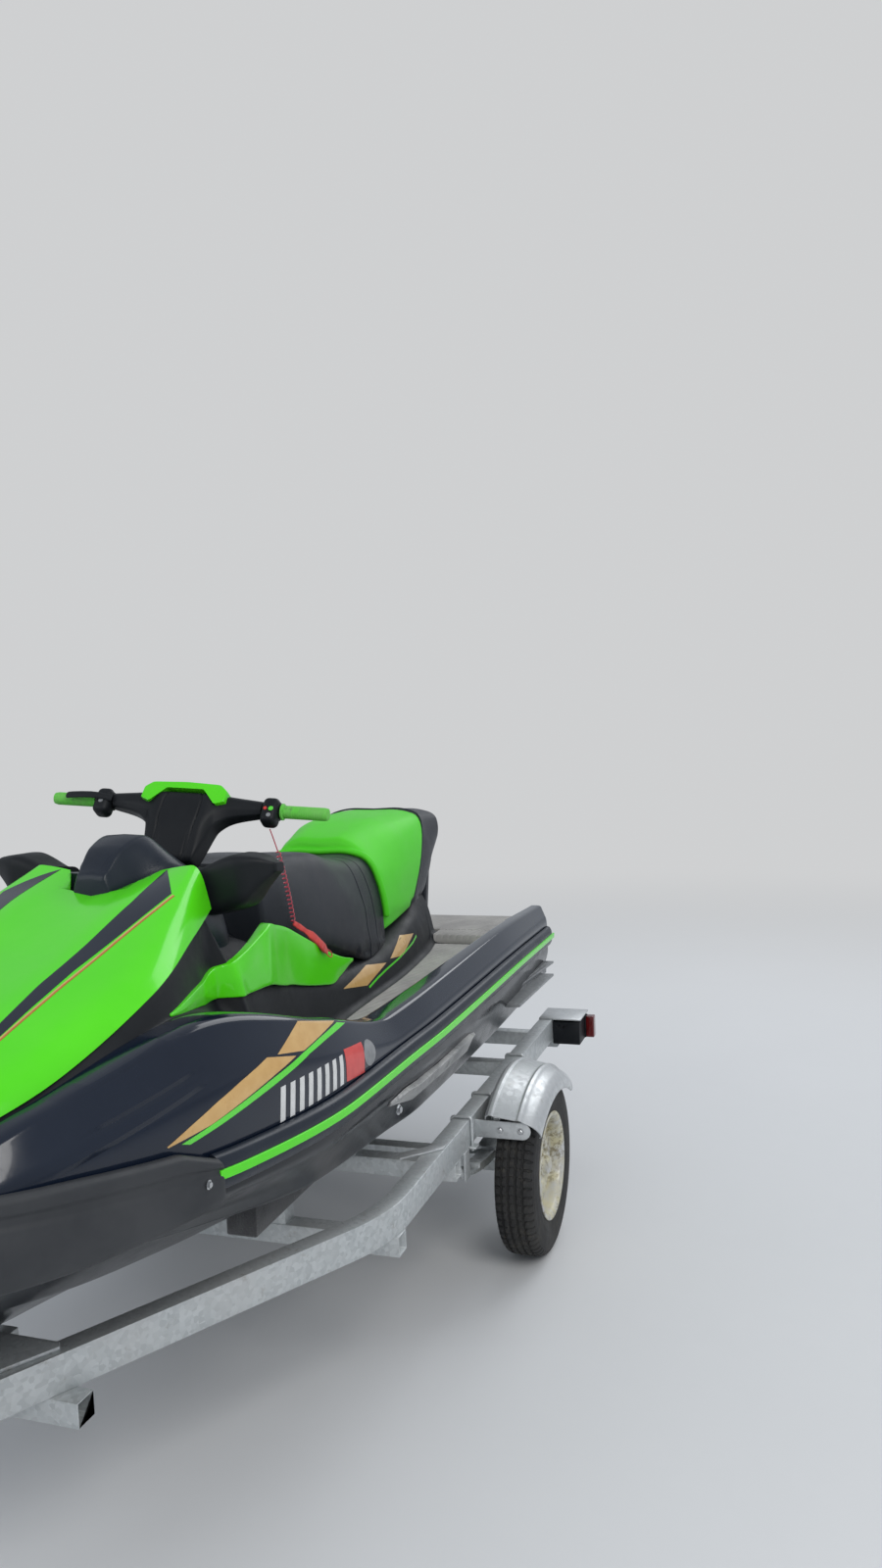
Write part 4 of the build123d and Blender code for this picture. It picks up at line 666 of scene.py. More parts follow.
# Hot-dip zinc: flat crystals a few millimetres to a centimetre wide that differ in tone, with
# a dull bloom over them and a little dirt in patches
def makeZinc(name, look):
    material, tree, shader, place = newMaterial(name)
    shift = {0: place, 1: (0.004, 0.004, 0.004)}
    moved = addNode(tree, "ShaderNodeVectorMath", shift, operation="ADD").outputs[0]
    flakes = {"Vector": moved, "Scale": look["crystals"]}
    crystals = addNode(tree, "ShaderNodeTexVoronoi", flakes).outputs["Color"]
    tone = addNode(tree, "ShaderNodeSeparateColor", {0: crystals}).outputs[0]
    colour = mixed(tree, tone, *look["tones"])
    bloom = spread(tree, noiseOf(tree, place, 7.0, 6.0, 0.65), 0.4, 0.68)
    colour = tinted(tree, colour, look["bloomColour"], bloom, look["bloom"])
    dirt = spread(tree, noiseOf(tree, place, 22.0, 6.0, 0.7), 0.60, 0.74)
    colour = tinted(tree, colour, look["dirtColour"], dirt, look["dirt"])
    tree.links.new(colour, shader.inputs["Base Color"])
    wobble = noiseOf(tree, place, 40.0, 3.0)
    rough = spread(tree, calc(tree, "ADD", tone, wobble), 0.4, 1.5, *look["rough"])
    tree.links.new(rough, shader.inputs["Roughness"])
    normal = raised(tree, noiseOf(tree, place, 160.0, 4.0), 0.0002, raised(tree, tone, 0.00005))
    tree.links.new(normal, shader.inputs["Normal"])
    shader.inputs["Metallic"].default_value = look["metal"]
    return material


zincLooks = {
    "zinc": {
        "tones": ((0.60, 0.63, 0.64), (0.47, 0.50, 0.51)), "crystals": 95.0, "rough": (0.38, 0.58),
        "metal": 0.55,
        "bloom": 0.6, "bloomColour": (0.56, 0.57, 0.57), "dirt": 0.6, "dirtColour": (0.22, 0.19, 0.15),
    },
    "zincBright": {
        "tones": ((0.66, 0.68, 0.69), (0.55, 0.57, 0.58)), "crystals": 70.0, "rough": (0.28, 0.46),
        "metal": 0.6,
        "bloom": 0.5, "bloomColour": (0.64, 0.65, 0.66), "dirt": 0.3, "dirtColour": (0.3, 0.27, 0.22),
    },
}
finishes.update({name: makeZinc(name, look) for name, look in zincLooks.items()})
print("stage: finishes made")

# Camera as solved from the photograph; the sensor width belongs to the long side
photoView = {
    "position": (2.304, 1.574, 1.687),
    "forward": (-0.9439, -0.3230, -0.0685),
    "up": (-0.0794, 0.0207, 0.9966),
    "lens": 26.02,
    "sensor": 36.0,
}
cameraData = bpy.data.cameras.new("photoCamera")
cameraData.lens, cameraData.sensor_width, cameraData.clip_start = photoView["lens"], photoView["sensor"], 0.02
camera = bpy.data.objects.new("photoCamera", cameraData)
bpy.context.scene.collection.objects.link(camera)
forward, up = Vector(photoView["forward"]).normalized(), Vector(photoView["up"])
right = forward.cross(up).normalized()
up = right.cross(forward)
turn = Matrix((right, up, -forward)).transposed().to_4x4()
camera.matrix_world = Matrix.Translation(photoView["position"]) @ turn
bpy.context.scene.camera = camera

# Soft light: a large key from the front port side, a fill, and a pale world
lampSettings = {
    "key": {"at": (3.6, 4.2, 5.2), "size": 3.2, "power": 190.0, "colour": (1.0, 0.985, 0.96)},
    "fill": {"at": (4.5, -3.8, 3.6), "size": 4.0, "power": 70.0, "colour": (0.93, 0.96, 1.0)},
    "back": {"at": (-5.0, 2.0, 4.6), "size": 4.0, "power": 110.0, "colour": (0.96, 0.98, 1.0)},
}
for lampName, look in lampSettings.items():
    data = bpy.data.lights.new(lampName, "AREA")
    data.shape, data.size, data.energy, data.color = "SQUARE", look["size"], look["power"], look["colour"]
    lamp = bpy.data.objects.new(lampName, data)
    lamp.location = look["at"]
    lamp.rotation_euler = (Vector((0, 0, 0.7)) - Vector(look["at"])).to_track_quat("-Z", "Y").to_euler()
    bpy.context.scene.collection.objects.link(lamp)

stageLook = {
    "floor": (0.74, 0.75, 0.76), "floorSecond": (0.75, 0.76, 0.77), "half": 60.0, "fade": (2.2, 9.0),
    "sky": (0.80, 0.81, 0.82), "skyStrength": 0.78, "light": (0.82, 0.87, 0.94), "strength": 0.5,
}
world = bpy.data.worlds.new("paleRoom")
bpy.context.scene.world = world
world.use_nodes = True
tree = world.node_tree
lightPath = addNode(tree, "ShaderNodeLightPath")
seen = calc(tree, "MAXIMUM", lightPath.outputs["Is Camera Ray"], lightPath.outputs["Is Transmission Ray"])
plain = tree.nodes["Background"]
plain.inputs[0].default_value, plain.inputs[1].default_value = (*stageLook["light"], 1), stageLook["strength"]
pale = addNode(tree, "ShaderNodeBackground", {0: (*stageLook["sky"], 1), 1: stageLook["skyStrength"]})
both = addNode(tree, "ShaderNodeMixShader", {0: seen, 1: plain.outputs[0], 2: pale.outputs[0]})
tree.links.new(both.outputs[0], tree.nodes["World Output"].inputs[0])

# The floor fades into the pale background with the distance from the middle, for the camera alone
half = stageLook["half"]
floorCorners = [(-half, -half, 0), (half, -half, 0), (half, half, 0), (-half, half, 0)]
floor = meshObject("floor", floorCorners, [[0, 1, 2, 3]])
floorTones = (stageLook["floor"], stageLook["floorSecond"])
floorFinish = makeFinish("floorPaint", {"tones": floorTones, "mottle": 1.5, "rough": (0.7, 0.85)})
floor.data.materials.append(floorFinish)
tree = floorFinish.node_tree
place = addNode(tree, "ShaderNodeTexCoord").outputs["Object"]
away = addNode(tree, "ShaderNodeVectorMath", {0: place}, operation="LENGTH").outputs["Value"]
inputs = {"Value": away, "From Min": stageLook["fade"][0], "From Max": stageLook["fade"][1]}
far = addNode(tree, "ShaderNodeMapRange", inputs, interpolation_type="SMOOTHSTEP").outputs[0]
toSky = calc(tree, "MULTIPLY", far, addNode(tree, "ShaderNodeLightPath").outputs["Is Camera Ray"])
skyGlow = addNode(tree, "ShaderNodeEmission", {0: (*stageLook["sky"], 1), 1: stageLook["skyStrength"]})
inputs = {0: toSky, 1: tree.nodes["Principled BSDF"].outputs[0], 2: skyGlow.outputs[0]}
blend = addNode(tree, "ShaderNodeMixShader", inputs)
tree.links.new(blend.outputs[0], tree.nodes["Material Output"].inputs[0])
floor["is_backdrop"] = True
bpy.context.scene.view_settings.view_transform = "Standard"
print("stage: camera, lamps and floor")

# Hull, from the keel out over the strake and the chine and up to the bond with the deck.
# Columns: x, keel z, chine half width, chine z, side half width, bond z
hullLook = {
    "rows": [
        (0, 0, 482, 148, 525, 298), (700, 0, 490, 146, 552, 325), (1400, 0, 490, 156, 556, 328),
        (1650, 2.5, 480, 176, 551, 331), (2000, 6, 466, 204, 545, 335), (2400, 42, 390, 272, 495, 357),
        (2750, 122, 270, 340, 385, 405), (2980, 232, 160, 408, 250, 455), (3095, 350, 60, 466, 115, 510),
    ],
    "stations": 120,
    "soft": (0, 0.10, 0.10, 0.16, 0.22, 0.42, 0.42, 0.02, 0),
    "bay": ((820, 1800), (-205, 205), (100, 700)),
    "bin": ((2190, 2700), (-190, 190), (280, 700)),
    "tunnel": ((-60, 455), (-130, 130), (-60, 248)),
    "intake": ((450, -60), (1000, -60), (1000, 14), (450, 205)), "intakeHalf": 78,
    "endDepth": 16, "endInset": 30,
}
hullRows = np.array(hullLook["rows"]) * mm


# Half sections of the hull at every x
def hullHalf(x):
    keel, chineY, chineZ, sideY, bondZ = np.moveaxis(alongTable(hullRows, x), -1, 0)
    rise, topside = chineZ - keel, bondZ - chineZ
    corners = [
        (0 * x, keel), (0.50 * chineY, keel + 0.46 * rise), (0.55 * chineY, keel + 0.455 * rise),
        (0.93 * chineY, keel + 0.90 * rise), (chineY, keel + 0.90 * rise),
        (chineY + 0.35 * (sideY - chineY), chineZ + 0.22 * topside), (sideY, bondZ - 0.25 * topside),
        (sideY, bondZ), (0 * x, bondZ),
    ]
    return sectionsOf(corners)


# More rings past the last one: they advance by depth sin a and draw in by inset (1 - cos a)
def pillowEnd(grid, depth, inset, steps=5, last=True):
    ring = grid[-1] if last else grid[0]
    before = grid[-2] if last else grid[1]
    ahead = (ring - before).mean(0)
    ahead /= np.linalg.norm(ahead)
    middle = (ring.max(0) + ring.min(0)) / 2
    a = np.linspace(0, np.pi / 2, steps + 1)[1:, None, None]
    reach = np.linalg.norm(ring - middle, axis=1).max()
    rings = middle + (ring - middle) * (1 - inset / reach * (1 - np.cos(a))) + ahead * depth * np.sin(a)
    return np.concatenate([grid, rings]) if last else np.concatenate([rings[::-1], grid])


def pillowEnds(grid, depth, inset, steps=5):
    return pillowEnd(pillowEnd(grid, depth, inset, steps), depth, inset, steps, last=False)


def makeHull(look):
    x = np.linspace(0, hullRows[-1, 0], look["stations"])
    grid = stationGrid(x, bothSides(roundCorners(hullHalf(x), look["soft"], 4)))
    hull = ringSkin("hullShell", pillowEnd(grid, look["endDepth"] * mm, look["endInset"] * mm))
    rooms = [spanBox("room", *look[n]) for n in ("bay", "bin", "tunnel")]
    outline = np.array(look["intake"]) * mm + craftOrigin[[0, 2]]
    half = look["intakeHalf"] * mm
    rooms.append(prismObject("room", outline, 1, -half, half))
    return dress(carve(hull, *rooms), "hullGloss", "gelcoat_black", "hull")


hullShell = makeHull(hullLook)

# Deck. Columns of rows: x, outer crest half width, inner crest half width, crest z.
# Columns of middle: x, foot half width, shoulder half width, shoulder z, top half width, top z.
# Columns of spans: from x, to x, stations
deckLook = {
    "rows": [
        (0, 502, 466, 449), (700, 520, 474, 479), (1400, 524, 464, 474), (1650, 517, 454, 472),
        (2000, 506, 436, 560), (2400, 438, 366, 662), (2750, 330, 282, 600), (2980, 205, 165, 540),
        (3095, 92, 60, 536),
    ],
    "middle": [
        (0, 178, 160, 402.2, 130, 402.4), (318, 178, 160, 402.2, 130, 402.4), (344, 180, 162, 500, 132, 560),
        (600, 226, 206, 500, 152, 540), (1000, 262, 240, 462, 160, 498), (1300, 268, 240, 478, 158, 506),
        (1560, 284, 240, 545, 155, 590), (1820, 318, 262, 640, 180, 700), (2020, 354, 286, 683, 199, 731),
        (2075, 272, 253, 796, 236, 797), (2180, 300, 284, 775, 268, 775.6), (2420, 348, 332, 712, 316, 712.6),
        (2680, 308, 292, 621, 276, 621.6), (2900, 214, 198, 567, 182, 567.6), (3040, 112, 96, 545, 80, 545.6),
        (3095, 50, 44, 530.5, 36, 531),
    ],
    "spans": [(0, 300, 11), (300, 440, 35), (440, 1950, 89), (1950, 2110, 39), (2110, 3095, 59)],
    "soft": (0, 0.02, 0.30, 0.42, 0.42, 0.30, 0.28, 0.30, 0.22, 0.34, 0.30, 0),
    "platform": 402, "footwell": 378, "step": (392, 420), "toe": (1972, 2066), "glossyColumns": 31,
    "bay": ((820, 1800), (-205, 205), (200, 425)),
    "neck": ((620, 1800), (-118, 118), (424, 450)),
    "mouth": ((620, 1480), (-118, 118), (449, 900)),
    "glove": ((1652, 1790), (-90, 90), (500, 900)),
    "bin": ((2190, 2700), (-190, 190), (200, 900)),
}
deckRows, middleRows = (np.array(deckLook[k], float) * mm for k in ("rows", "middle"))


# Height of the floor: it steps down from the platform to the wells and rises at the toes
def floorHeight(x, look):
    back = look["platform"] + (look["footwell"] - look["platform"]) * smoothStep(x / mm, *look["step"])
    crest = alongTable(deckRows, x)[:, 2] / mm
    return (back + (crest - 6 - back) * smoothStep(x / mm, *look["toe"])) * mm


# Half sections of the deck: bond, side, crest, well wall, floor, raised middle
def deckHalf(x, look):
    hullPart = alongTable(hullRows, x)
    bondY, bondZ = hullPart[:, 3], hullPart[:, 4]
    outY, inY, crest = alongTable(deckRows, x).T
    footY, shoulderY, shoulderZ, topY, topZ = alongTable(middleRows, x).T
    floor = floorHeight(x, look)
    rise = crest - bondZ
    slope = np.minimum(32 * mm, 0.3 * (inY - footY))
    corners = [
        (0 * x, bondZ), (bondY, bondZ), (bondY, bondZ + 0.62 * rise),
        (outY + 0.3 * (bondY - outY), bondZ + 0.88 * rise), (outY, crest), (inY, crest),
        (inY - 0.1 * slope, np.minimum(floor + 66 * mm, crest - 3 * mm)), (inY - slope, floor),
        (footY, floor), (shoulderY, shoulderZ), (topY, topZ), (0 * x, topZ),
    ]
    return sectionsOf(corners)


# Painted outside the crests and matt between them
def makeDeck(look):
    places = [np.linspace(start, end, count, endpoint=False) for start, end, count in look["spans"]]
    x = np.append(np.concatenate(places), look["spans"][-1][1]) * mm
    grid = stationGrid(x, bothSides(roundCorners(deckHalf(x, look), look["soft"], 5)))
    deck = painted(ringSkin("deckShell", grid, angle=38), "inkGloss", "mattPlastic")
    glossy = np.arange(grid.shape[1]) < look["glossyColumns"]
    quads = np.tile(np.where(glossy | glossy[::-1], 0, 1), len(x) - 1)
    deck.data.polygons.foreach_set("material_index", np.append(quads, [0, 0]))
    rooms = [spanBox("room", *look[n]) for n in ("bay", "neck", "mouth", "glove", "bin")]
    return dress(carve(deck, *rooms), None, "deck_black", "deck")


deckShell = makeDeck(deckLook)
print("stage: hull and deck")


# A section carried along a line in plan: offsets run to the left of the line, heights up
def sweptGrid(path, base, section):
    tangent = np.gradient(path, axis=0)
    tangent /= np.linalg.norm(tangent, axis=1)[:, None]
    out = np.stack([-tangent[:, 1], tangent[:, 0]], -1)
    plan = path[:, None] + out[:, None] * section[..., 0, None]
    return np.concatenate([plan, (base[:, None] + section[..., 1])[..., None]], -1) + craftOrigin


# Line of the hull's side at the bond, from the middle of the transom round the corner to x
def gunwaleLine(xs, corner=0.03, inner=0.425):
    side = alongTable(hullRows, xs)[:, 3]
    first = hullRows[0, 4]
    a = np.linspace(0, np.pi / 2, 8)
    arc = np.stack([corner - corner * np.cos(a), first - corner + corner * np.sin(a)], -1)
    back = np.stack([np.zeros(5), np.linspace(inner, first - corner, 6)[:-1]], -1)
    ahead = np.stack([xs, side], -1)[xs > corner + 0.004]
    return np.concatenate([back, arc, ahead])


# Bumper rail and stripe. Section points: distance out, height over the bond
railLook = {
    "section": [(0.3, 0), (17, 3), (24, 18), (24, 52), (18, 68), (0.3, 74)],
    "stripe": [(23, 25), (27.6, 26.5), (28, 43.5), (23, 45)],
    "frontX": 2480, "stripeRearX": 3,
}


# The section stands the same all along the gunwale
def gunwalePiece(name, line, section, share):
    base = alongTable(hullRows, np.maximum(line[:, 0], 0))[:, 4]
    section = roundRing(np.array(section) * mm, share, 4)
    section = np.broadcast_to(section, (len(line), *section.shape))
    grid = sweptGrid(line, base, section)
    return withMirror(ringSkin(name, grid, angle=40))


def makeRails(look):
    front = look["frontX"] * mm
    line = gunwaleLine(np.linspace(0, front, 100))
    rail = gunwalePiece("gunwaleRail", line, look["section"], 0.3)
    dress(rail, "railPlastic", "matt_black", "rub_rails")
    start = look["stripeRearX"] * mm
    xs = np.linspace(start, front, 100)
    line = np.stack([xs, alongTable(hullRows, xs)[:, 3]], -1)
    stripe = gunwalePiece("gunwaleStripe", line, look["stripe"], 0.2)
    return rail, dress(stripe, "limeGloss", "gloss_green", "rub_stripes")


gunwaleRail, gunwaleStripe = makeRails(railLook)

# Matt guard round the bow. Section points: share of the reach, height over the bond, share of the
# growth. Growth: x, how far it comes down, how far it stands up
guardLook = {
    "section": [
        (0.02, -26, 1), (0.7, -24, 1), (0.96, -8, 0.8), (1.0, 14, 0.2), (0.94, 34, 0), (0.80, 41, 0.1),
        (0.80, 50, 0.3), (0.97, 56, 0.5), (0.94, 68, 1), (0.6, 75, 1), (0.02, 74, 1),
    ],
    "growth": [(2482, 0, -8), (2560, 8, 18), (2750, 34, 16), (2980, 54, 8), (3095, 0, 0)],
    "reach": (30, 37), "rearX": 2482, "turnX": 3070, "noseX": 3095.6, "noseHalf": 76, "bendHalf": 122,
}


# The line follows the side, bends along a parabola and crosses the nose; the section grows down and up
def makeBowGuard(look):
    xs = np.linspace(look["rearX"], look["turnX"], 50) * mm
    side = alongTable(hullRows, xs)[:, 3] + 0.6 * mm
    u = np.linspace(0, 1, 12)[1:, None]
    start = np.array([xs[-1], side[-1]])
    mid, end = np.array([(look["noseX"] - 1, look["bendHalf"]), (look["noseX"], look["noseHalf"])]) * mm
    bend = (1 - u) ** 2 * start + 2 * u * (1 - u) * mid + u * u * end
    nose = np.stack([np.full(8, look["noseX"] * mm), np.linspace(look["noseHalf"] * mm, 0, 9)[1:]], -1)
    half = np.concatenate([np.stack([xs, side], -1), bend, nose])
    line = np.concatenate([half, half[-2::-1] * [1, -1]])
    reach = np.interp(line[:, 0], [xs[0], line[:, 0].max()], look["reach"]) * mm
    share, height, grown = roundRing(np.array(look["section"]), 0.3, 4).T
    places, drop, rise = np.array(look["growth"], float).T
    drop, rise = (np.interp(line[:, 0] / mm, places, v)[:, None] for v in (drop, rise))
    height = height + np.where(height < 30, -drop, rise) * grown
    section = np.stack([reach[:, None] * share, height * mm], -1)
    base = alongTable(hullRows, line[:, 0])[:, 4]
    guard = ringSkin("bowBumper", pillowEnds(sweptGrid(line, base, section), 0.012, 0.008), angle=40)
    return dress(guard, "guardGrey", "matt_black", "bow_guard")


bowBumper = makeBowGuard(guardLook)

# Green hood over the bin.
# Columns: x, edge half width, edge z, corner half width, corner z, crease half width, crease z, centre z
hoodLook = {
    "rows": [
        (2035, 250, 806, 226, 910, 132, 898, 868), (2180, 292, 776, 262, 846, 136, 862, 842),
        (2420, 340, 713, 300, 750, 132, 776, 770), (2680, 300, 622, 262, 662, 112, 690, 696),
        (2900, 206, 568, 170, 594, 76, 612, 618), (3040, 104, 546, 80, 560, 34, 568, 571),
    ],
    "soft": (0, 0.04, 0.48, 0.48, 0.3, 0), "wall": 16, "stations": 90,
    "room": (2059, 2940),
    "notch": [(1990, 156), (2060, 104), (2118, 64), (2124, 62)],
}
hoodRows = np.array(hoodLook["rows"], float) * mm


# Half sections of the hood: under its edge, edge, corner, crease, and the flank between the last two bows out
def hoodHalf(x, inset=0.0, skirt=0.0):
    edgeY, edgeZ, cornerY, cornerZ, creaseY, creaseZ, centreZ = np.moveaxis(alongTable(hoodRows, x), -1, 0)
    flank = (0.5 * (cornerY + creaseY), 0.5 * (cornerZ + creaseZ) + 0.02 * (cornerY - creaseY))
    corners = [
        (0 * x, edgeZ - skirt), (edgeY - inset, edgeZ - skirt), (cornerY - inset, cornerZ - inset),
        (flank[0] - 0.5 * inset, flank[1] - inset), (creaseY - 0.3 * inset, creaseZ - inset),
        (0 * x, centreZ - inset),
    ]
    return sectionsOf(corners)


def makeHood(look):
    x = np.linspace(hoodRows[0, 0], hoodRows[-1, 0], look["stations"])
    outer = stationGrid(x, bothSides(roundCorners(hoodHalf(x), look["soft"], 6)))
    hood = ringSkin("hoodShell", pillowEnd(outer, 0.010, 0.006), angle=32)
    x = np.linspace(*look["room"], 30) * mm
    roomHalf = roundCorners(hoodHalf(x, look["wall"] * mm, 60 * mm), 0.3, 3)
    room = ringSkin("room", stationGrid(x, bothSides(roomHalf)))
    half = np.array(look["notch"], float) * mm
    outline = np.concatenate([half, half[::-1] * [1, -1]]) + craftOrigin[:2]
    notch = prismObject("notch", outline, 2, 0.9, 1.5)
    return dress(carve(hood, room, notch), "limeGloss", "gloss_green", "hood", body="hood")


hoodShell = makeHood(hoodLook)
print("stage: rails, guard and hood")

# Cowl behind the hood and the instrument dome on it.
# Columns of cowl: x, edge half width, edge z, corner half width, corner z, crease half width, crease z.
# Columns of dome: x, base half width, shoulder half width, shoulder z, top half width, top z
cowlLook = {
    "cowl": [
        (1800, 150, 690, 120, 770, 60, 790), (1900, 205, 730, 180, 846, 90, 876),
        (2030, 224, 800, 206, 896, 120, 888),
    ],
    "dome": [
        (1900, 165, 150, 868, 80, 890), (1990, 150, 128, 900, 55, 972), (2060, 98, 78, 885, 46, 955),
        (2118, 58, 50, 872, 38, 905),
    ],
    "frontX": 2034.4, "foot": 640, "domeFoot": 700, "flare": 8, "stations": 40,
}


# Two forms of half sections with flat feet; the dome is cut off level with the hood's rear edge
def makeCowl(look):
    rows, domeRows = (np.array(look[k], float) * mm for k in ("cowl", "dome"))
    x = np.linspace(rows[0, 0], look["frontX"] * mm, look["stations"])
    edgeY, edgeZ, cornerY, cornerZ, creaseY, creaseZ = alongTable(rows, x).T
    foot = 0 * x + look["foot"] * mm
    corners = [
        (0 * x, foot), (edgeY + look["flare"] * mm, foot), (edgeY, edgeZ), (cornerY, cornerZ),
        (creaseY, creaseZ), (0 * x, creaseZ - 6 * mm),
    ]
    half = roundCorners(sectionsOf(corners), (0, 0.05, 0.14, 0.16, 0.16, 0), 3)
    cowl = ringSkin("cowlShell", pillowEnd(stationGrid(x, bothSides(half)), 0.012, 0.01, last=False))
    x = np.linspace(domeRows[0, 0], domeRows[-1, 0], look["stations"])
    baseY, shoulderY, shoulderZ, topY, topZ = alongTable(domeRows, x).T
    foot = 0 * x + look["domeFoot"] * mm
    corners = [(0 * x, foot), (baseY, foot), (shoulderY, shoulderZ), (topY, topZ), (0 * x, topZ + 3 * mm)]
    half = roundCorners(sectionsOf(corners), (0, 0.05, 0.12, 0.14, 0), 3)
    dome = ringSkin("dome", pillowEnd(stationGrid(x, bothSides(half)), 0.014, 0.016, 3), angle=24)
    under = spanBox("under", (look["frontX"], 2300), (-400, 400), (500, hoodLook["rows"][0][2]))
    whole = joined("cowlShell", [cowl, carve(dome, under)])
    return dress(whole, "railPlastic", "matt_black", "instrument_cowl")


cowlShell = makeCowl(cowlLook)

# Seats. Columns: x, skirt half width, skirt z, side half width, side z, shoulder half width,
# shoulder z, top z
seatLook = {
    "front": [
        (850, 205, 500, 205, 640, 170, 756, 784), (1050, 226, 478, 216, 650, 178, 775, 792),
        (1180, 230, 515, 214, 680, 178, 800, 812), (1330, 226, 575, 206, 720, 170, 842, 846),
        (1530, 205, 640, 188, 760, 150, 854, 862), (1630, 170, 690, 156, 790, 118, 848, 856),
    ],
    "rear": [
        (285, 168, 700, 198, 780, 188, 846, 868), (480, 184, 575, 206, 700, 192, 856, 882),
        (700, 198, 548, 208, 715, 182, 846, 878), (860, 205, 535, 203, 706, 162, 806, 854),
        (960, 202, 530, 197, 692, 152, 776, 828),
    ],
    "split": ((905, 533), (942, 900)),
    "soft": (0, 0.1, 0.2, 0.34, 0.4, 0.42, 0.4, 0), "rearFrom": 0.288, "frontTo": 1.628, "gap": (0.5, 0.8),
    "frontSeams": (0.988, 1.066), "blackFoot": 0.622, "blackLean": -0.547, "lip": 0.02,
    "pressure": 4.0, "cap": 0.005, "frames": 14, "pinFront": 0.5, "pinRear": 0.56,
    "lipFrom": 575, "lipRadius": 11, "lipSpread": 0.045, "lipBack": 4, "pipingFrom": 600, "pipingRadius": 3.2,
}
splitFoot, splitHead = (np.array(p, float) * mm for p in seatLook["split"])
splitLean = (splitHead[0] - splitFoot[0]) / (splitHead[1] - splitFoot[1])


# Half sections of a seat on stations that lean: x = foot + lean (z - pivot z), solved by repeating
# z -> x -> z a few times
def seatHalf(rows, foot, lean):
    x = np.repeat(foot[:, None], 8, 1)
    for _ in range(25):
        skirtY, skirtZ, sideY, sideZ, shoulderY, shoulderZ, topZ = np.moveaxis(alongTable(rows, x), -1, 0)
        under = alongTable(middleRows, x)
        underZ = under[..., 4] + 1.5 * mm
        corners = [
            (0 * x, underZ), (under[..., 3], underZ), (skirtY * 0.93, skirtZ - 12 * mm), (skirtY, skirtZ),
            (sideY, sideZ), (shoulderY, shoulderZ), (0.55 * shoulderY, topZ), (0 * x, topZ - 4 * mm),
        ]
        y, z = (np.stack([pair[axis][:, k] for k, pair in enumerate(corners)], 1) for axis in (0, 1))
        x = 0.5 * x + 0.5 * (foot[:, None] + lean[:, None] * (z - splitFoot[1]))
    return x, np.stack([y, z], -1)


# Closed sections of a seat, named by its table, in the shared frame
def seatGrid(name, foot, lean):
    x, half = seatHalf(np.array(seatLook[name], float) * mm, foot, lean)
    points = roundCorners(np.concatenate([x[..., None], half], -1), seatLook["soft"], 5)
    return np.concatenate([points, points[:, -2:0:-1] * [1, -1, 1]], 1) + craftOrigin


# Sewn seams press into a grid of sections: each station's points move in along their normals by
# depth exp(-(d / width)^2), with d the distance along the foot line from the seam
def sewn(grid, foot, seams, depth=0.0035, width=0.0028):
    along, around = np.gradient(grid, axis=0), np.roll(grid, -1, 1) - np.roll(grid, 1, 1)
    normal = np.cross(around, along)
    normal /= np.linalg.norm(normal, axis=2, keepdims=True) + 1e-12
    middle = grid.mean(1, keepdims=True)
    normal *= np.sign((normal * (grid - middle)).sum(2).mean())
    press = sum(np.exp(-(((foot - seam) / width) ** 2)) for seam in seams)
    return grid - normal * depth * press[:, None, None]


# Stations at even steps with closer ones at each seam
def withSeams(low, high, count, seams, near=0.008):
    steps = [np.linspace(low, high, count)] + [np.linspace(s - near, s + near, 13) for s in seams]
    foot = np.unique(np.round(np.concatenate(steps), 6))
    return foot[(foot >= low) & (foot <= high)]


clothLook = {
    "quality": 4, "mass": 0.3, "tension_stiffness": 40, "compression_stiffness": 40, "shear_stiffness": 20,
    "bending_stiffness": 2, "use_pressure": True, "vertex_group_mass": "pin",
}


# Padding under pressure: Blender's cloth swells the cover, its points moving no further than the cap
def padOut(obj, look, pinBelow):
    mesh = obj.data
    before = np.empty(len(mesh.vertices) * 3)
    mesh.vertices.foreach_get("co", before)
    before = before.reshape(-1, 3)
    pin = obj.vertex_groups.new(name="pin")
    pin.add(np.nonzero(before[:, 2] < craftOrigin[2] + pinBelow)[0].tolist(), 1.0, "REPLACE")
    cloth = obj.modifiers.new("pad", "CLOTH")
    for key, value in clothLook.items():
        setattr(cloth.settings, key, value)
    cloth.settings.uniform_pressure_force = look["pressure"]
    cloth.settings.effector_weights.gravity = 0
    cloth.collision_settings.use_collision = False
    scene = bpy.context.scene
    for step in range(1, look["frames"] + 1):
        scene.frame_set(step)
    ready = obj.evaluated_get(bpy.context.evaluated_depsgraph_get())
    after = np.empty(len(mesh.vertices) * 3)
    ready.data.vertices.foreach_get("co", after)
    move = after.reshape(-1, 3) - before
    far = np.linalg.norm(move, axis=1, keepdims=True)
    move *= np.minimum(1, look["cap"] / np.maximum(far, 1e-9))
    obj.modifiers.clear()
    obj.vertex_groups.clear()
    scene.frame_set(1)
    mesh.vertices.foreach_set("co", (before + move).ravel())
    mesh.update()
    return obj


# The stations lean with the split at the rear end and stand upright towards the front
def makeFrontSeat(look):
    seams = look["frontSeams"]
    foot = withSeams(splitFoot[0] + look["gap"][0] * mm, look["frontTo"], 64, seams)
    t = (foot - foot[0]) / (foot[-1] - foot[0])
    grid = seatGrid("front", foot, splitLean * (1 - smoothStep(t, 0, 0.8)))
    seat = ringSkin("frontSeatCover", pillowEnd(sewn(grid, foot, seams), 0.014, 0.02), angle=60)
    padOut(seat, look, look["pinFront"])
    return dress(seat, "seatBlack", "seat_vinyl", "seat_front")


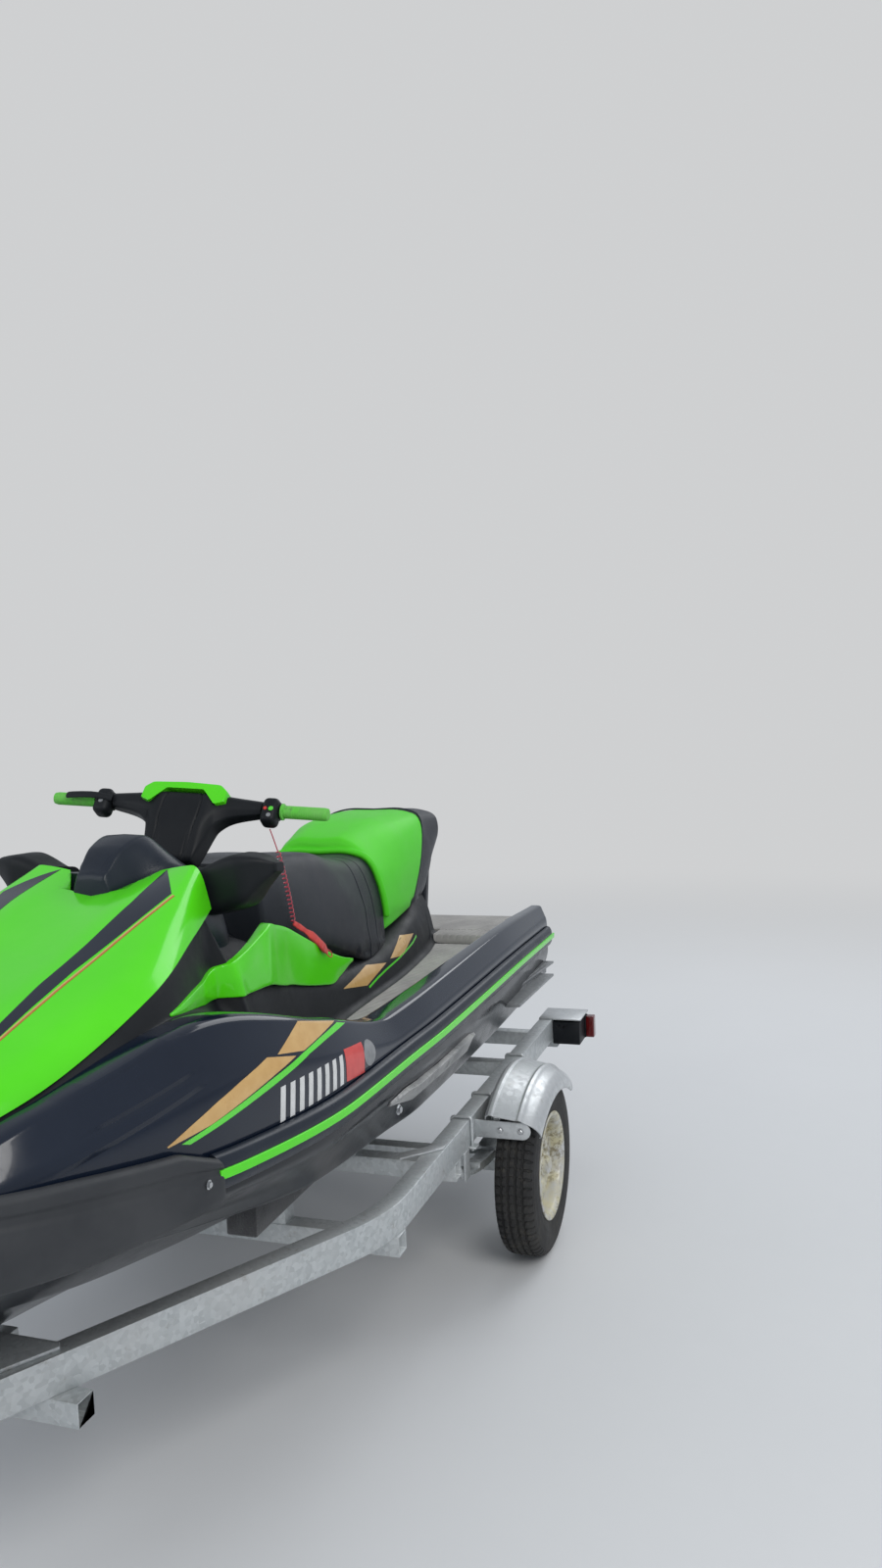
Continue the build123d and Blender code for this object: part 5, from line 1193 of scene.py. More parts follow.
# The rear seat is green with black vinyl over its rear end; their seam leans back
def makeRearSeat(look):
    seam, steps = look["blackFoot"], 5
    end = splitFoot[0] - look["gap"][1] * mm - look["lip"]
    foot = withSeams(look["rearFrom"], end, 70, [seam])
    lean = np.interp(foot, [look["rearFrom"], seam, end], [0, look["blackLean"], splitLean])
    grid = pillowEnd(sewn(seatGrid("rear", foot, lean), foot, [seam]), look["lip"], 0.030, steps)
    grid = pillowEnd(grid, 0.014, 0.02, steps, last=False)
    seat = painted(ringSkin("rearSeatCover", grid, angle=60), "seatLime", "seatBlack")
    black = np.concatenate([np.full(steps, True), foot < seam - 0.0005, np.full(steps - 1, False)])
    face = np.append(np.repeat(black, grid.shape[1]), [True, False])
    seat.data.polygons.foreach_set("material_index", face.astype(int))
    padOut(seat, look, look["pinRear"])
    return dress(seat, None, "seat_vinyl_green", "seat_rear", body="rear_seat")


frontSeatCover = makeFrontSeat(seatLook)
rearSeatCover = makeRearSeat(seatLook)


# Raised lip on the rear seat's front face, round the front seat's back
def makeLip(look):
    ring = seatGrid("front", np.array([splitFoot[0] - look["lipBack"] * mm]), np.array([splitLean]))[0]
    middle = (ring.max(0) + ring.min(0)) / 2
    line = ring + (ring - middle) * [0, 1, 1] * look["lipSpread"]
    line = line[ring[:, 2] > craftOrigin[2] + look["lipFrom"] * mm]
    tube = tubeGrid(line, look["lipRadius"] * mm, 14)
    lip = ringSkin("seatLip", pillowEnds(tube, 0.009, 0.011), angle=60)
    return dress(lip, "seatLime", "seat_vinyl_green", body="rear_seat")


seatLip = makeLip(seatLook)


# Piping sewn into the seam between the rear seat's two colours
def makePiping(look):
    ring = seatGrid("rear", np.array([look["blackFoot"]]), np.array([look["blackLean"]]))[0]
    line = ring[ring[:, 2] > craftOrigin[2] + look["pipingFrom"] * mm]
    piping = tubeObject("seatPiping", line, look["pipingRadius"] * mm, 10)
    return dress(piping, "railPlastic", "seat_vinyl", body="rear_seat")


seatPiping = makePiping(seatLook)
print("stage: cowl and seats")

# Frame of the bar: its own x ahead, y to port and z up the leaning column, turned as it stands.
# Columns of cover: y, half depth, lowest z, highest z. Pad: y and z of its half outline. Grip and
# core: y, radius. Lever: x, y. Buttons: side, y from the switch housing's middle, z, radius, finish.
# Boot: z, radius
barLook = {
    "at": (1698, 0, 1012), "lean": 38, "turn": 7.6,
    "cover": [
        (0, 44, -172, 26), (62, 44, -172, 26), (95, 36, -66, 26), (130, 30, -38, 24), (206, 20, -19, 20),
    ],
    "pad": [(0, 26.3), (52, 26.3), (66, 12), (92, -16), (116, -6), (114, 26), (94, 42), (0, 46)],
    "padX": (-38, 43), "grooveZ": (-172, -110, -20, 26), "grooveY": (34, 46, 56, 44),
    "gripInner": [(256, 11.3), (256, 16.8), (258, 21.5), (262, 21.5), (264, 16.5)], "gripRibs": (266, 374),
    "gripOuter": [(381, 15.0), (382, 11.0), (382, 0.5)],
    "switchY": 232, "core": [(-22, 11.5), (-22, 20), (-19, 24), (19, 24), (22, 20), (22, 11.5)],
    "lobeX": (-17, 32), "lobeHalf": 22, "lobeZ": (-46, 27), "lobeEdge": 15, "leverRadius": 6.5, "leverZ": -5,
    "lever": [(27, -205), (31, -222), (37, -240), (39, -262), (37, -290), (33, -318), (30, -330)],
    "buttonX": 31,
    "buttons": [
        (1, 6, -10, 6.5, "limeFilm"), (1, -9, -10, 5.0, "redFilm"), (1, 4, -29, 6.0, "greyFilm"),
        (-1, 0, -16, 6.5, "greyFilm"),
    ],
    "bootFoot": [(-308, 48), (-296, 46)], "fold": [(-292, 42), (-284, 46), (-280, 46)],
    "folds": 4, "foldPitch": 20,
    "bootHead": [(-210, 38), (-200, 41), (-190, 41), (-188, 38), (-188, 22), (-308, 22)],
}
lean, barTurn = math.radians(barLook["lean"]), math.radians(barLook["turn"])
barMiddle = np.array(barLook["at"]) * mm + craftOrigin
ahead = np.array([math.cos(lean), 0, math.sin(lean)])
port = np.array([0, 1.0, 0])
upColumn = np.array([-math.sin(lean), 0, math.cos(lean)])
columnAxes = np.array([ahead, port, upColumn])
barAhead = ahead * math.cos(barTurn) + port * math.sin(barTurn)
barPort = port * math.cos(barTurn) - ahead * math.sin(barTurn)
barAxes = np.array([barAhead, barPort, upColumn])


# Moves a mesh drawn in millimetres in the bar's frame to its place
def toBar(obj, axes=barAxes):
    count = len(obj.data.vertices)
    points = np.empty(count * 3)
    obj.data.vertices.foreach_get("co", points)
    points = points.reshape(-1, 3) * mm @ axes + barMiddle
    obj.data.vertices.foreach_set("co", points.ravel())
    obj.data.update()
    return obj


# Eight-sided sections along y, with a pressed line 3.2 exp(-(d / 2.6)^2) deep on the front
def makeBarCover(look):
    rows = np.array(look["cover"], float)
    y = np.linspace(0, rows[-1, 0], 120)
    y = np.concatenate([-y[:0:-1], y])
    half, low, high = alongTable(rows, np.abs(y)).T
    corners = [
        (0.6 * half, low), (half, 0.4 * low), (half, 0.5 * high), (0.6 * half, high),
        (-0.6 * half, high), (-half, 0.5 * high), (-half, 0.4 * low), (-0.6 * half, low),
    ]
    ring = roundRing(sectionsOf(corners), 0.24, 6)
    grid = np.insert(ring, 1, np.broadcast_to(y[:, None], ring.shape[:2]), axis=2)
    edge = np.interp(grid[..., 2], look["grooveZ"], look["grooveY"])
    press = 3.2 * np.exp(-(((np.abs(grid[..., 1]) - edge) / 2.6) ** 2)) * (grid[..., 0] > 0)
    grid[..., 0] -= press
    cover = ringSkin("barCover", grid, angle=32)
    return dress(toBar(cover), "mattPlastic", "matt_black", "bar_cover", body="steering")


# One outline carried from the rear to the front, its top crowned by 3 (1 - ((x - 2) / 42)^2)
def makeBarPad(look):
    half = np.array(look["pad"], float)
    outline = np.concatenate([half, half[-2:0:-1] * [-1, 1]])
    ring = roundRing(outline, 0.13, 3)
    x = np.linspace(*look["padX"], 6)
    crown = 3 * (1 - ((x - 2) / 42) ** 2)
    grid = np.empty((len(x), len(ring), 3))
    grid[..., 0], grid[..., 1] = x[:, None], ring[:, 0]
    grid[..., 2] = ring[:, 1] + crown[:, None] * (ring[:, 1] > 20)
    pad = ringSkin("barPad", pillowEnds(grid, 4, 4, 3), angle=32)
    return dress(toBar(pad), "limeGloss", "gloss_green", "bar_pad", body="steering")


# Turned grips whose ribs follow |sin| along y
def makeGrips(look):
    y = np.linspace(*look["gripRibs"], 109)
    ribs = np.stack([y, 16.4 + 0.55 * np.abs(np.sin((y - y[0]) * math.pi / 6))], 1)
    profile = np.concatenate([look["gripInner"], ribs, look["gripOuter"]])
    made = [turnedObject("grip", profile * [side, 1], 1, (0, 0, 0), 36, closed=False) for side in (1, -1)]
    grips = toBar(smoothed(joined("barGrips", made)))
    return dress(grips, "gripRubber", "soft_grip", "grips", body="steering")


# Switch housings with their buttons, and the throttle finger
def makeControls(look):
    switchY, half = look["switchY"], look["lobeHalf"]
    made = []
    for side in (1, -1):
        core = (np.array(look["core"], float) + [switchY, 0]) * [side, 1]
        y = sorted((side * (switchY - half), side * (switchY + half)))
        lobe = boxObject("lobe", *zip(look["lobeX"], y, look["lobeZ"]))
        made += [turnedObject("core", core, 1, (0, 0, 0), 40), bevelled(lobe, look["lobeEdge"], 5)]
    path = np.insert(np.array(look["lever"], float), 2, look["leverZ"], axis=1)
    finger = tubeGrid(path, look["leverRadius"], 12)
    finger = path[:, None] + (finger - path[:, None]) * [0.7, 1, 1.5]
    made.append(ringSkin("finger", pillowEnd(finger, 5, 4)))
    controls = toBar(smoothed(joined("barControls", made), 40))
    dress(controls, "mattPlastic", "matt_black", "hand_controls", body="steering")
    x, buttons = look["buttonX"], []
    for side, y, z, radius, finish in look["buttons"]:
        profile = [(x - 4, radius), (x + 1.2, radius), (x + 2.6, radius * 0.8), (x + 3.0, 0.3)]
        button = turnedObject("barButton", profile, 0, (0, side * switchY + y, z), 24, closed=False)
        buttons.append(dress(toBar(button), finish, "matt_black", body="steering"))
    return controls, buttons


# Bellows round the column: folds that narrow by a millimetre each, between two collars
def makeColumnBoot(look):
    folds = [(z + look["foldPitch"] * n, r - n) for n in range(look["folds"]) for z, r in look["fold"]]
    profile = np.array(look["bootFoot"] + folds + look["bootHead"], float)
    boot = turnedObject("columnBoot", profile, 2, (0, 0, 0), 48, angle=60)
    return dress(toBar(boot, columnAxes), "mattPlastic", "matt_black")


barCover = makeBarCover(barLook)
barPad = makeBarPad(barLook)
barGrips = makeGrips(barLook)
barControls, barButtons = makeControls(barLook)
columnBoot = makeColumnBoot(barLook)
barAndColumn = softEdged("barAndColumn", "handlebar", 0.0012)
dress(barAndColumn, "steel", "stainless", "handlebar", body="steering")

# Mirror housings. Columns: y, then x and z of the lower rear, lower front, upper front and upper rear corners
mirrorLook = {
    "rows": [
        (214, 1880, 770, 2010, 786, 2024, 902, 1900, 884), (300, 1895, 794, 2015, 808, 2022, 928, 1905, 924),
        (350, 1915, 846, 1998, 856, 2006, 922, 1922, 918), (384, 1936, 878, 1980, 884, 1984, 908, 1940, 904),
    ],
    "rearY": 196, "glass": (0.12, 0.88), "glassY": (235, 372), "glassLift": 2.2,
}


# Four-cornered sections along y; the plate lies over the lower rear to upper rear sides
def makeMirrors(look):
    rows = np.array(look["rows"], float) * mm
    y = np.linspace(rows[0, 0], rows[-1, 0], 30)
    corners = alongTable(rows, y).reshape(len(y), 4, 2)
    corners = np.concatenate([corners[:1], corners])
    y = np.concatenate([[look["rearY"] * mm], y])
    ring = roundRing(corners, 0.24, 5)
    grid = np.insert(ring, 1, np.broadcast_to(y[:, None], ring.shape[:2]), axis=2) + craftOrigin
    housing = withMirror(ringSkin("mirrorHousings", pillowEnd(grid, 0.006, 0.006), angle=45))
    dress(housing, "mattPlastic", "matt_black", "mirrors")
    inner = (y > look["glassY"][0] * mm) & (y < look["glassY"][1] * mm)
    share = np.linspace(*look["glass"], 10)[:, None]
    low, high = corners[inner][:, None, 0], corners[inner][:, None, 3]
    line = low + (high - low) * share[None] - [look["glassLift"] * mm, 0]
    place = np.broadcast_to(y[inner][:, None], line.shape[:2])
    plate = np.insert(line, 1, place, axis=2) + craftOrigin
    glass = withMirror(wallSkin("mirrorPlates", plate, 3 * mm, offset=0.0))
    return housing, dress(glass, "mirrorGlass", "matt_black")


mirrorHousings, mirrorPlates = makeMirrors(mirrorLook)

# Green panels on the sides of the raised middle, with an upright crease and a point under the hood.
# Columns: x, lower edge z, upper edge z, how far its face stands proud
panelLook = {
    "rows": [
        (1240, 506, 514, 1), (1262, 505, 520, 5), (1320, 492, 536, 8), (1395, 479, 564, 9),
        (1470, 492, 598, 9), (1547, 510, 635, 10), (1620, 529, 668, 12), (1680, 546, 693, 14),
        (1730, 557, 709, 17), (1780, 570, 722, 20), (1828, 584, 734, 24), (1845, 588, 730, 25),
        (1887, 594, 718, 20), (1974, 603, 699, 14), (2049, 611, 686, 11), (2137, 621, 676, 9),
        (2256, 640, 671, 8), (2370, 658, 664, 4),
    ],
    "stations": 150, "deepest": 4,
}


# Sections that stand proud of the raised middle's side: y = side(z) + a share of proud
def makeSidePanels(look):
    rows = np.array(look["rows"], float) * mm
    x = np.linspace(rows[0, 0], rows[-1, 0], look["stations"])
    lowZ, highZ, proud = alongTable(rows, x).T
    footY, shoulderY, shoulderZ = alongTable(middleRows, x)[:, :3].T
    floor = floorHeight(x, deckLook)

    def skin(z):
        return footY + (shoulderY - footY) * np.clip((z - floor) / (shoulderZ - floor), 0, 1)

    depth = look["deepest"] * mm
    midZ = lowZ + 0.5 * (highZ - lowZ)
    corners = [
        (skin(lowZ) - depth, lowZ), (skin(lowZ) + 0.7 * proud, lowZ), (skin(midZ) + 1.1 * proud, midZ),
        (skin(highZ) + proud, highZ), (skin(highZ) - depth, highZ + 1 * mm),
    ]
    ring = roundRing(sectionsOf(corners), (0.04, 0.16, 0.2, 0.16, 0.04), 4)
    panel = withMirror(ringSkin("sidePanels", pillowEnds(stationGrid(x, ring), 0.004, 0.004), angle=40))
    return dress(panel, "limeGloss", "gloss_green", "side_panels")


sidePanels = makeSidePanels(panelLook)
gloveLid = softEdged("gloveLid", "glove_box_lid", 0.005, 3)
dress(gloveLid, "mattPlastic", "matt_black", "glove_box_lid", body="glove_box_lid")
print("stage: bar, mirrors and panels")

# Tyres and wheels. Tyre: y from its middle and radius from the port bead round to the tread's middle.
# Rings on the sidewall: radius, width, height. Barrel, disc and hub: y from the middle, radius
wheelLook = {
    "at": (957, 689, 265), "sides": 192,
    "tyre": [
        (51, 152), (56, 160), (61.6, 184), (64, 212), (59.4, 243), (54, 254), (47, 261), (34, 264.6), (0, 265),
    ],
    "room": [(0, 251), (38, 250), (46, 238), (54, 202), (41, 151)],
    "crownHalf": 53, "crownSteps": 89, "crownFrom": 225, "treadFrom": 240, "treadDepth": 6.5, "sipes": 64,
    "grooves": (-31, -11, 11, 31), "grooveHalf": 3.4, "shoulder": (33, 36, 55, 58),
    "rings": [(190, 2.2, 1.2), (236, 1.8, 1.0)], "ringsFrom": 50,
    "barrel": [
        (61, 158.5), (59.5, 161), (57, 161), (54, 158), (52.5, 151.4), (40, 151.2), (30, 143.5), (-30, 143.5),
        (-40, 151.2), (-52.5, 151.4), (-54, 158), (-57, 161), (-59.5, 161), (-61, 158.5), (-58, 148),
        (-50, 141), (-34, 138.5), (34, 138.5), (50, 141), (58, 148),
    ],
    "disc": [
        (15, 140), (15, 122), (19, 112), (27, 94), (28, 88), (28, 66), (26, 60), (12, 52), (8, 49), (8, 30),
        (3, 30), (3, 50), (9, 56), (19, 65), (20, 70), (20, 88), (17, 94), (9, 118), (8, 140),
    ],
    "holes": 8, "holeAt": 104, "holeRadius": 13, "lugs": 5, "lugAt": 42, "lugY": 8, "lugRadius": 9.5,
    "hub": [
        (-44, 18), (-44, 44), (-42, 46), (-32, 46), (-29, 34), (30, 34), (33, 33), (35, 28), (47, 27),
        (50, 24), (51.5, 16), (52, 0.5),
    ],
}


def wheelMiddle(side):
    x, y, z = wheelLook["at"]
    return np.array([x, side * y, z]) * mm + groundOrigin


# Tread: grooves that run round and cuts that cross the shoulders take their depth off the radius,
# and rings on the sidewall add height exp(-((r - ring) / width)^2) to y
def makeTyre(look, side, node, body):
    half = np.array(look["tyre"], float)
    outline = roundCorners(np.concatenate([half, half[-2::-1] * [-1, 1]]), 0.3, 5)
    y = np.linspace(-look["crownHalf"], look["crownHalf"], look["crownSteps"])
    ordered = outline[np.argsort(outline[:, 0])]
    upper = ordered[ordered[:, 1] > look["crownFrom"]]
    crown = np.interp(y, upper[:, 0], upper[:, 1])
    walls = outline[(outline[:, 0] > y[-1]) | (outline[:, 1] < look["crownFrom"])]
    left, right = walls[walls[:, 0] > 0], walls[walls[:, 0] < 0]
    profile = np.concatenate([left, np.stack([y, crown], 1)[::-1], right])
    room = np.array(look["room"], float)
    inner = np.concatenate([room[::-1] * [-1, 1], room[1:]])
    a = np.linspace(0, 2 * np.pi, look["sides"] * 3, endpoint=False)[:, None]
    place, radius = profile[None, :, 0], np.repeat(profile[None, :, 1], len(a), 0)
    cut = np.zeros_like(radius)
    for groove in look["grooves"]:
        off = np.abs(place - groove - 1.2 * np.sin(a * look["sipes"]))
        cut = np.maximum(cut, 1 - smoothStep(off, look["grooveHalf"] - 0.9, look["grooveHalf"] + 0.9))
    phase = np.abs((a * look["sipes"] / (2 * np.pi) + 0.006 * np.abs(place)) % 1 - 0.5) * 2
    start, full, high, end = look["shoulder"]
    shoulder = smoothStep(np.abs(place), start, full) * (1 - smoothStep(np.abs(place), high, end))
    cut = np.maximum(cut, shoulder * (1 - smoothStep(phase, 0.20, 0.34)))
    middleCuts = (np.abs(place) < look["grooves"][-1]) * (1 - smoothStep(phase, 0.07, 0.13)) * 0.5
    cut = np.maximum(cut, middleCuts) * (profile[None, :, 1] > look["treadFrom"])
    rings = sum(high * np.exp(-(((profile[:, 1] - r) / width) ** 2)) for r, width, high in look["rings"])
    across = place + np.sign(place) * rings[None] * (np.abs(place) > look["ringsFrom"])
    across, inY, inRadius = (np.repeat(v, len(a), 0) for v in (across, inner[None, :, 0], inner[None, :, 1]))
    whole = np.concatenate([across, inY], 1)
    reach = np.concatenate([radius - look["treadDepth"] * cut, inRadius], 1)
    grid = np.stack([reach * np.cos(a), side * whole, reach * np.sin(a)], -1) * mm + wheelMiddle(side)
    tyre = meshObject(node, grid.reshape(-1, 3), gridFaces(*grid.shape[:2], around=True, along=True))
    return dress(smoothed(tyre, 40), "tyreRubber", "tyre_rubber", node, body=body)


# Barrel, disc and hub are turned; the disc has round holes and the hub its nuts
def makeRim(look, side, node, body):
    middle = wheelMiddle(side)
    scale = np.array([side, 1]) * mm
    barrel = turnedObject("barrel", roundRing(look["barrel"], 0.3, 3) * scale, 1, middle, 96, angle=50)
    disc = turnedObject("disc", look["disc"] * scale, 1, middle, 96, angle=50)
    radius, cutters = look["holeRadius"] * mm, []
    for a in 2 * np.pi * np.arange(look["holes"]) / look["holes"]:
        centre = middle + np.array([math.sin(a), 0, math.cos(a)]) * look["holeAt"] * mm - [0, 0.025, 0]
        cutters.append(turnedObject("hole", [(-0.01, radius), (0.06, radius)], 1, centre, 28, closed=False))
    disc = bevelled(carve(disc, *cutters), 0.0015)
    hub = turnedObject("hub", look["hub"] * scale, 1, middle, 48, closed=False, angle=40)
    verts, faces = boltForm(look["lugRadius"] * mm)
    a = 2 * np.pi * (np.arange(look["lugs"]) + 0.3) / look["lugs"]
    at = np.stack([np.sin(a) * look["lugAt"], 0 * a + side * look["lugY"], np.cos(a) * look["lugAt"]], 1)
    lugs = scattered("lugs", verts * [1, 1, 1.7], faces, at * mm + middle, np.tile([0, side, 0], (len(a), 1)))
    rim = joined(node + "Wheel", [barrel, disc, hub, lugs])
    return dress(rim, "rimSilver", "wheel_paint", node, body=body)


for sideName, side in (("port", 1), ("starboard", -1)):
    makeTyre(wheelLook, side, f"tyre_{sideName}", f"wheel_{sideName}")
    makeRim(wheelLook, side, f"rim_{sideName}", f"wheel_{sideName}")
print("stage: wheels")

# Fenders: flat inside with a pressed bead, rounded down to a rolled lip outside.
# Section: place out from the inner edge, height over the arch
fenderLook = {
    "x": 957, "y": (613, 772), "top": 568, "half": 250, "rise": 68, "wall": 3,
    "upper": [
        (0, -16), (1, -1), (7, 1), (10, 5), (22, 5), (25, 1), (32, 0), (75, -8), (92, -11), (98, -9),
        (106, -12), (114, -20), (137, -32), (153, -52), (159, -70), (158.6, -79), (155, -83), (151, -82),
    ],
    "bolts": ((655, 455.6), (716, 455.6)), "bracketX": 235,
}


# The section turned about an axis below: an arch of the given half length and rise
def makeFenders(look):
    upper = roundCorners(np.array(look["upper"], float), 0.32, 4)
    tangent = np.gradient(upper, axis=0)
    tangent /= np.linalg.norm(tangent, axis=1)[:, None]
    lower = upper + np.stack([tangent[:, 1], -tangent[:, 0]], -1) * look["wall"]
    ring = np.concatenate([upper, lower[::-1]])
    radius = (look["half"] ** 2 + look["rise"] ** 2) / (2 * look["rise"])
    reach = math.asin(look["half"] / radius)
    a = np.linspace(-reach, reach, 72)[:, None]
    r = radius + ring[None, :, 1]
    x = look["x"] + r * np.sin(a)
    z = look["top"] - radius + r * np.cos(a)
    y = np.broadcast_to(look["y"][0] + ring[None, :, 0], x.shape)
    grid = np.stack([x, y, z], -1) * mm + groundOrigin
    fender = withMirror(ringSkin("fenderSkins", grid, angle=50))
    return dress(fender, "zincBright", "galvanised", "fenders")


fenderSkins = makeFenders(fenderLook)
fenderArms = softEdged("fenderArms", "fender_brackets", 0.0012)
dress(fenderArms, "zincBright", "galvanised", "fender_brackets")


def makeBolts(name, radius, places, direction, finish="zinc", slot="galvanised"):
    verts, faces = boltForm(radius * mm)
    places = np.asarray(places, float) * mm + groundOrigin
    bolts = scattered(name, verts, faces, places, np.broadcast_to(direction, places.shape), 0.3)
    return dress(bolts, finish, slot)


for end, word in ((1, "Fore"), (-1, "Aft")):
    x = fenderLook["x"] + end * fenderLook["bracketX"]
    places = [(x, side * y, z) for side in (1, -1) for y, z in fenderLook["bolts"]]
    makeBolts("fenderBolts" + word, 7.0, places, (end, 0, 0), "steel")
print("stage: fenders")

# CAD pieces that keep their form, with softened edges.
# Columns: finish, slot, body, edge radii in millimetres by piece
softRows = [
    ("zinc", "galvanised", craftBody, {
        "trailer_rails": 4.0, "trailer_tongue": 5.0, "crossmembers": 4.0, "gusset_plate": 2.0, "coupler": 2.5,
        "jack_bracket": 1.5, "winch_post": 2.5, "winch": 1.5, "bunk_brackets": 1.5, "axle": 3.0,
        "leaf_springs": 1.2, "spring_hangers": 1.2,
    }),
    ("zinc", "galvanised", "jack", {"jack_tube": 1.0, "jack_crank": 1.0}),
    ("zinc", "galvanised", "jack_leg", {"jack_leg": 1.0}),
    ("bunkCarpet", "bunk_carpet", craftBody, {"bunks": 5.0}),
    ("tyreRubber", "tyre_rubber", craftBody, {"bow_roller": 2.0}),
    ("silverPlastic", "matt_black", craftBody, {"hull_sponsons": 5.0}),
    ("greyFilm", "matt_black", craftBody, {"stern_stabilisers": 1.5}),
    ("castMetal", "cast_grey", craftBody, {"pump_housing": 1.5, "ride_plate": 1.5, "intake_grate": 1.0}),
    ("castMetal", "cast_grey", "nozzle", {"steering_nozzle": 1.2}),
    ("castMetal", "cast_grey", "reverse_bucket", {"reverse_bucket": 1.5}),
    ("steel", "stainless", "impeller", {"impeller": 0.6}),
    ("steel", "stainless", craftBody, {"grab_handle": 1.0, "bow_eye": 0.8}),
    ("blockPaint", "engine_block", craftBody, {"engine": 6.0}),
]
for finish, slot, body, edges in softRows:
    for node, edge in edges.items():
        dress(softEdged(node + "Soft", node, edge * mm), finish, slot, node, body=body)
print("stage: trailer frame and pump")

# Foot mats with chevron grooves, one pair in the wells and one piece over the boarding platform
matLook = {
    "thick": 8, "border": 17, "slope": 32, "pitch": 24, "depth": 2.4, "lean": 18.7,
    "platform": {"x": (24, 414), "rear": 448, "holeX": 300, "holeHalf": 170},
    "well": {"x": (436, 1962)},
}


# Height of the mat's top: a triangle wave in the distance across the chevrons, flat on the ridges,
# rounded off to the edges
def matTop(x, y, edge, look):
    lean = math.radians(look["lean"])
    along = x * math.sin(lean) + np.abs(y) * math.cos(lean)
    phase = np.abs((along / look["pitch"]) % 1 - 0.5) * 2
    groove = 1 - smoothStep(phase, 0.12, 0.30)
    away = smoothStep(edge, 4, 12)
    lip = 3 * (1 - np.clip(edge / 5, 0, 1)) ** 2
    return look["thick"] - look["depth"] * groove * away - lip


def makeMats(look):
    made = []
    x = np.concatenate([[look["well"]["x"][0]], np.linspace(*look["well"]["x"], 260), [look["well"]["x"][1]]])
    inner = alongTable(deckRows, x * mm)[:, 1] / mm
    foot = alongTable(middleRows, x * mm)[:, 0] / mm
    low, high = foot + look["border"], inner - look["slope"] - look["border"]
    share = np.concatenate([[0], np.linspace(0, 1, 90), [1]])
    y = low[:, None] + (high - low)[:, None] * share
    floor = floorHeight(x * mm, deckLook) / mm
    ends = np.minimum(x - x[0], x[-1] - x)[:, None]
    edge = np.minimum(np.minimum(y - low[:, None], high[:, None] - y), ends)
    top = matTop(x[:, None], y, edge, look)
    top[0], top[-1], top[:, 0], top[:, -1] = 0.6, 0.6, 0.6, 0.6
    z = floor[:, None] + top
    grid = np.stack([np.broadcast_to(x[:, None], y.shape), y, z], -1) * mm + craftOrigin
    made.append(withMirror(matSkin("wellMat", grid)))
    p = look["platform"]
    x = np.concatenate([[p["x"][0]], np.linspace(*p["x"], 110), [p["x"][1]]])
    outer = alongTable(deckRows, x * mm)[:, 1] / mm - look["slope"] - look["border"]
    inner = np.where(x > p["holeX"], p["holeHalf"] + look["border"], 0)
    share = np.concatenate([[0], np.linspace(0, 1, 110), [1]])
    for part in ("rear", "arms"):
        keep = x <= p["holeX"] if part == "rear" else x > p["holeX"]
        xs = x[keep]
        low = np.zeros_like(xs) if part == "rear" else inner[keep]
        high = outer[keep]
        y = low[:, None] + (high - low)[:, None] * share
        ends = np.minimum(xs - x[0], x[-1] - xs)[:, None]
        edge = np.minimum(high[:, None] - y, ends)
        if part == "arms":
            edge = np.minimum(edge, y - low[:, None])
        else:
            overHole = np.where(y < p["holeHalf"] + look["border"], p["holeX"] - xs[:, None], 99)
            edge = np.minimum(edge, overHole)
        top = matTop(xs[:, None], y, edge, look)
        top[:, -1] = 0.6
        if part == "rear":
            top[0] = 0.6
            top[-1] = np.where(y[-1] < p["holeHalf"] + look["border"], 0.6, top[-1])
        else:
            top[-1], top[:, 0] = 0.6, 0.6
        grid = np.stack([np.broadcast_to(xs[:, None], y.shape), y, matFloor(xs) + top], -1) * mm + craftOrigin
        made.append(withMirror(matSkin("platformMat", grid)))
    mats = joined("footMats", made)
    return dress(smoothed(mats, 50), "footMat", "deck_mat", "deck_mats")


def matFloor(x):
    return (floorHeight(x * mm, deckLook) / mm)[:, None]


# A top skin closed by walls and an underside that spans each row from edge to edge
def matSkin(name, grid):
    rows, cols = grid.shape[:2]
    rim = grid[..., 2].min(1) - 0.4 * mm
    under = np.stack([grid[:, 0], grid[:, -1]], 1)
    under[..., 2] = rim[:, None]
    left, right = [[rows * cols + 2 * i + k for i in range(rows)] for k in (0, 1)]
    faces = gridFaces(rows, cols)
    faces.append([*range(cols), right[0], left[0]])
    faces.append([*range(rows * cols - 1, (rows - 1) * cols - 1, -1), left[-1], right[-1]])
    for i in range(rows - 1):
        faces.append([(i + 1) * cols - 1, (i + 2) * cols - 1, right[i + 1], right[i]])
        faces.append([(i + 1) * cols, i * cols, left[i], left[i + 1]])
        faces.append([left[i], right[i], right[i + 1], left[i + 1]])
    return meshObject(name, np.concatenate([grid.reshape(-1, 3), under.reshape(-1, 3)]), faces)


footMats = makeMats(matLook)
print("stage: mats")

# Kill switch lanyard: a thin lead, a curly stretch and a webbing float that hangs by its end
lanyardLook = {
    "switch": (-10, 232, -44), "route": ((1684, 242, 895), (1608, 229, 778), (1549, 208.6, 680.2)),
    "leadRadius": 1.5, "coilRadius": 5.6, "coilWidth": 14, "pitch": 15.0, "turnPoints": 18,
    "strap": ((1546, 209, 678), (1456, 260, 581)), "strapNormal": (0.12, 0.95, 0.3), "bow": 8, "width": 24,
    "loop": 32, "stitchAt": (0.1, 0.16, 0.52, 0.74, 0.92),
}


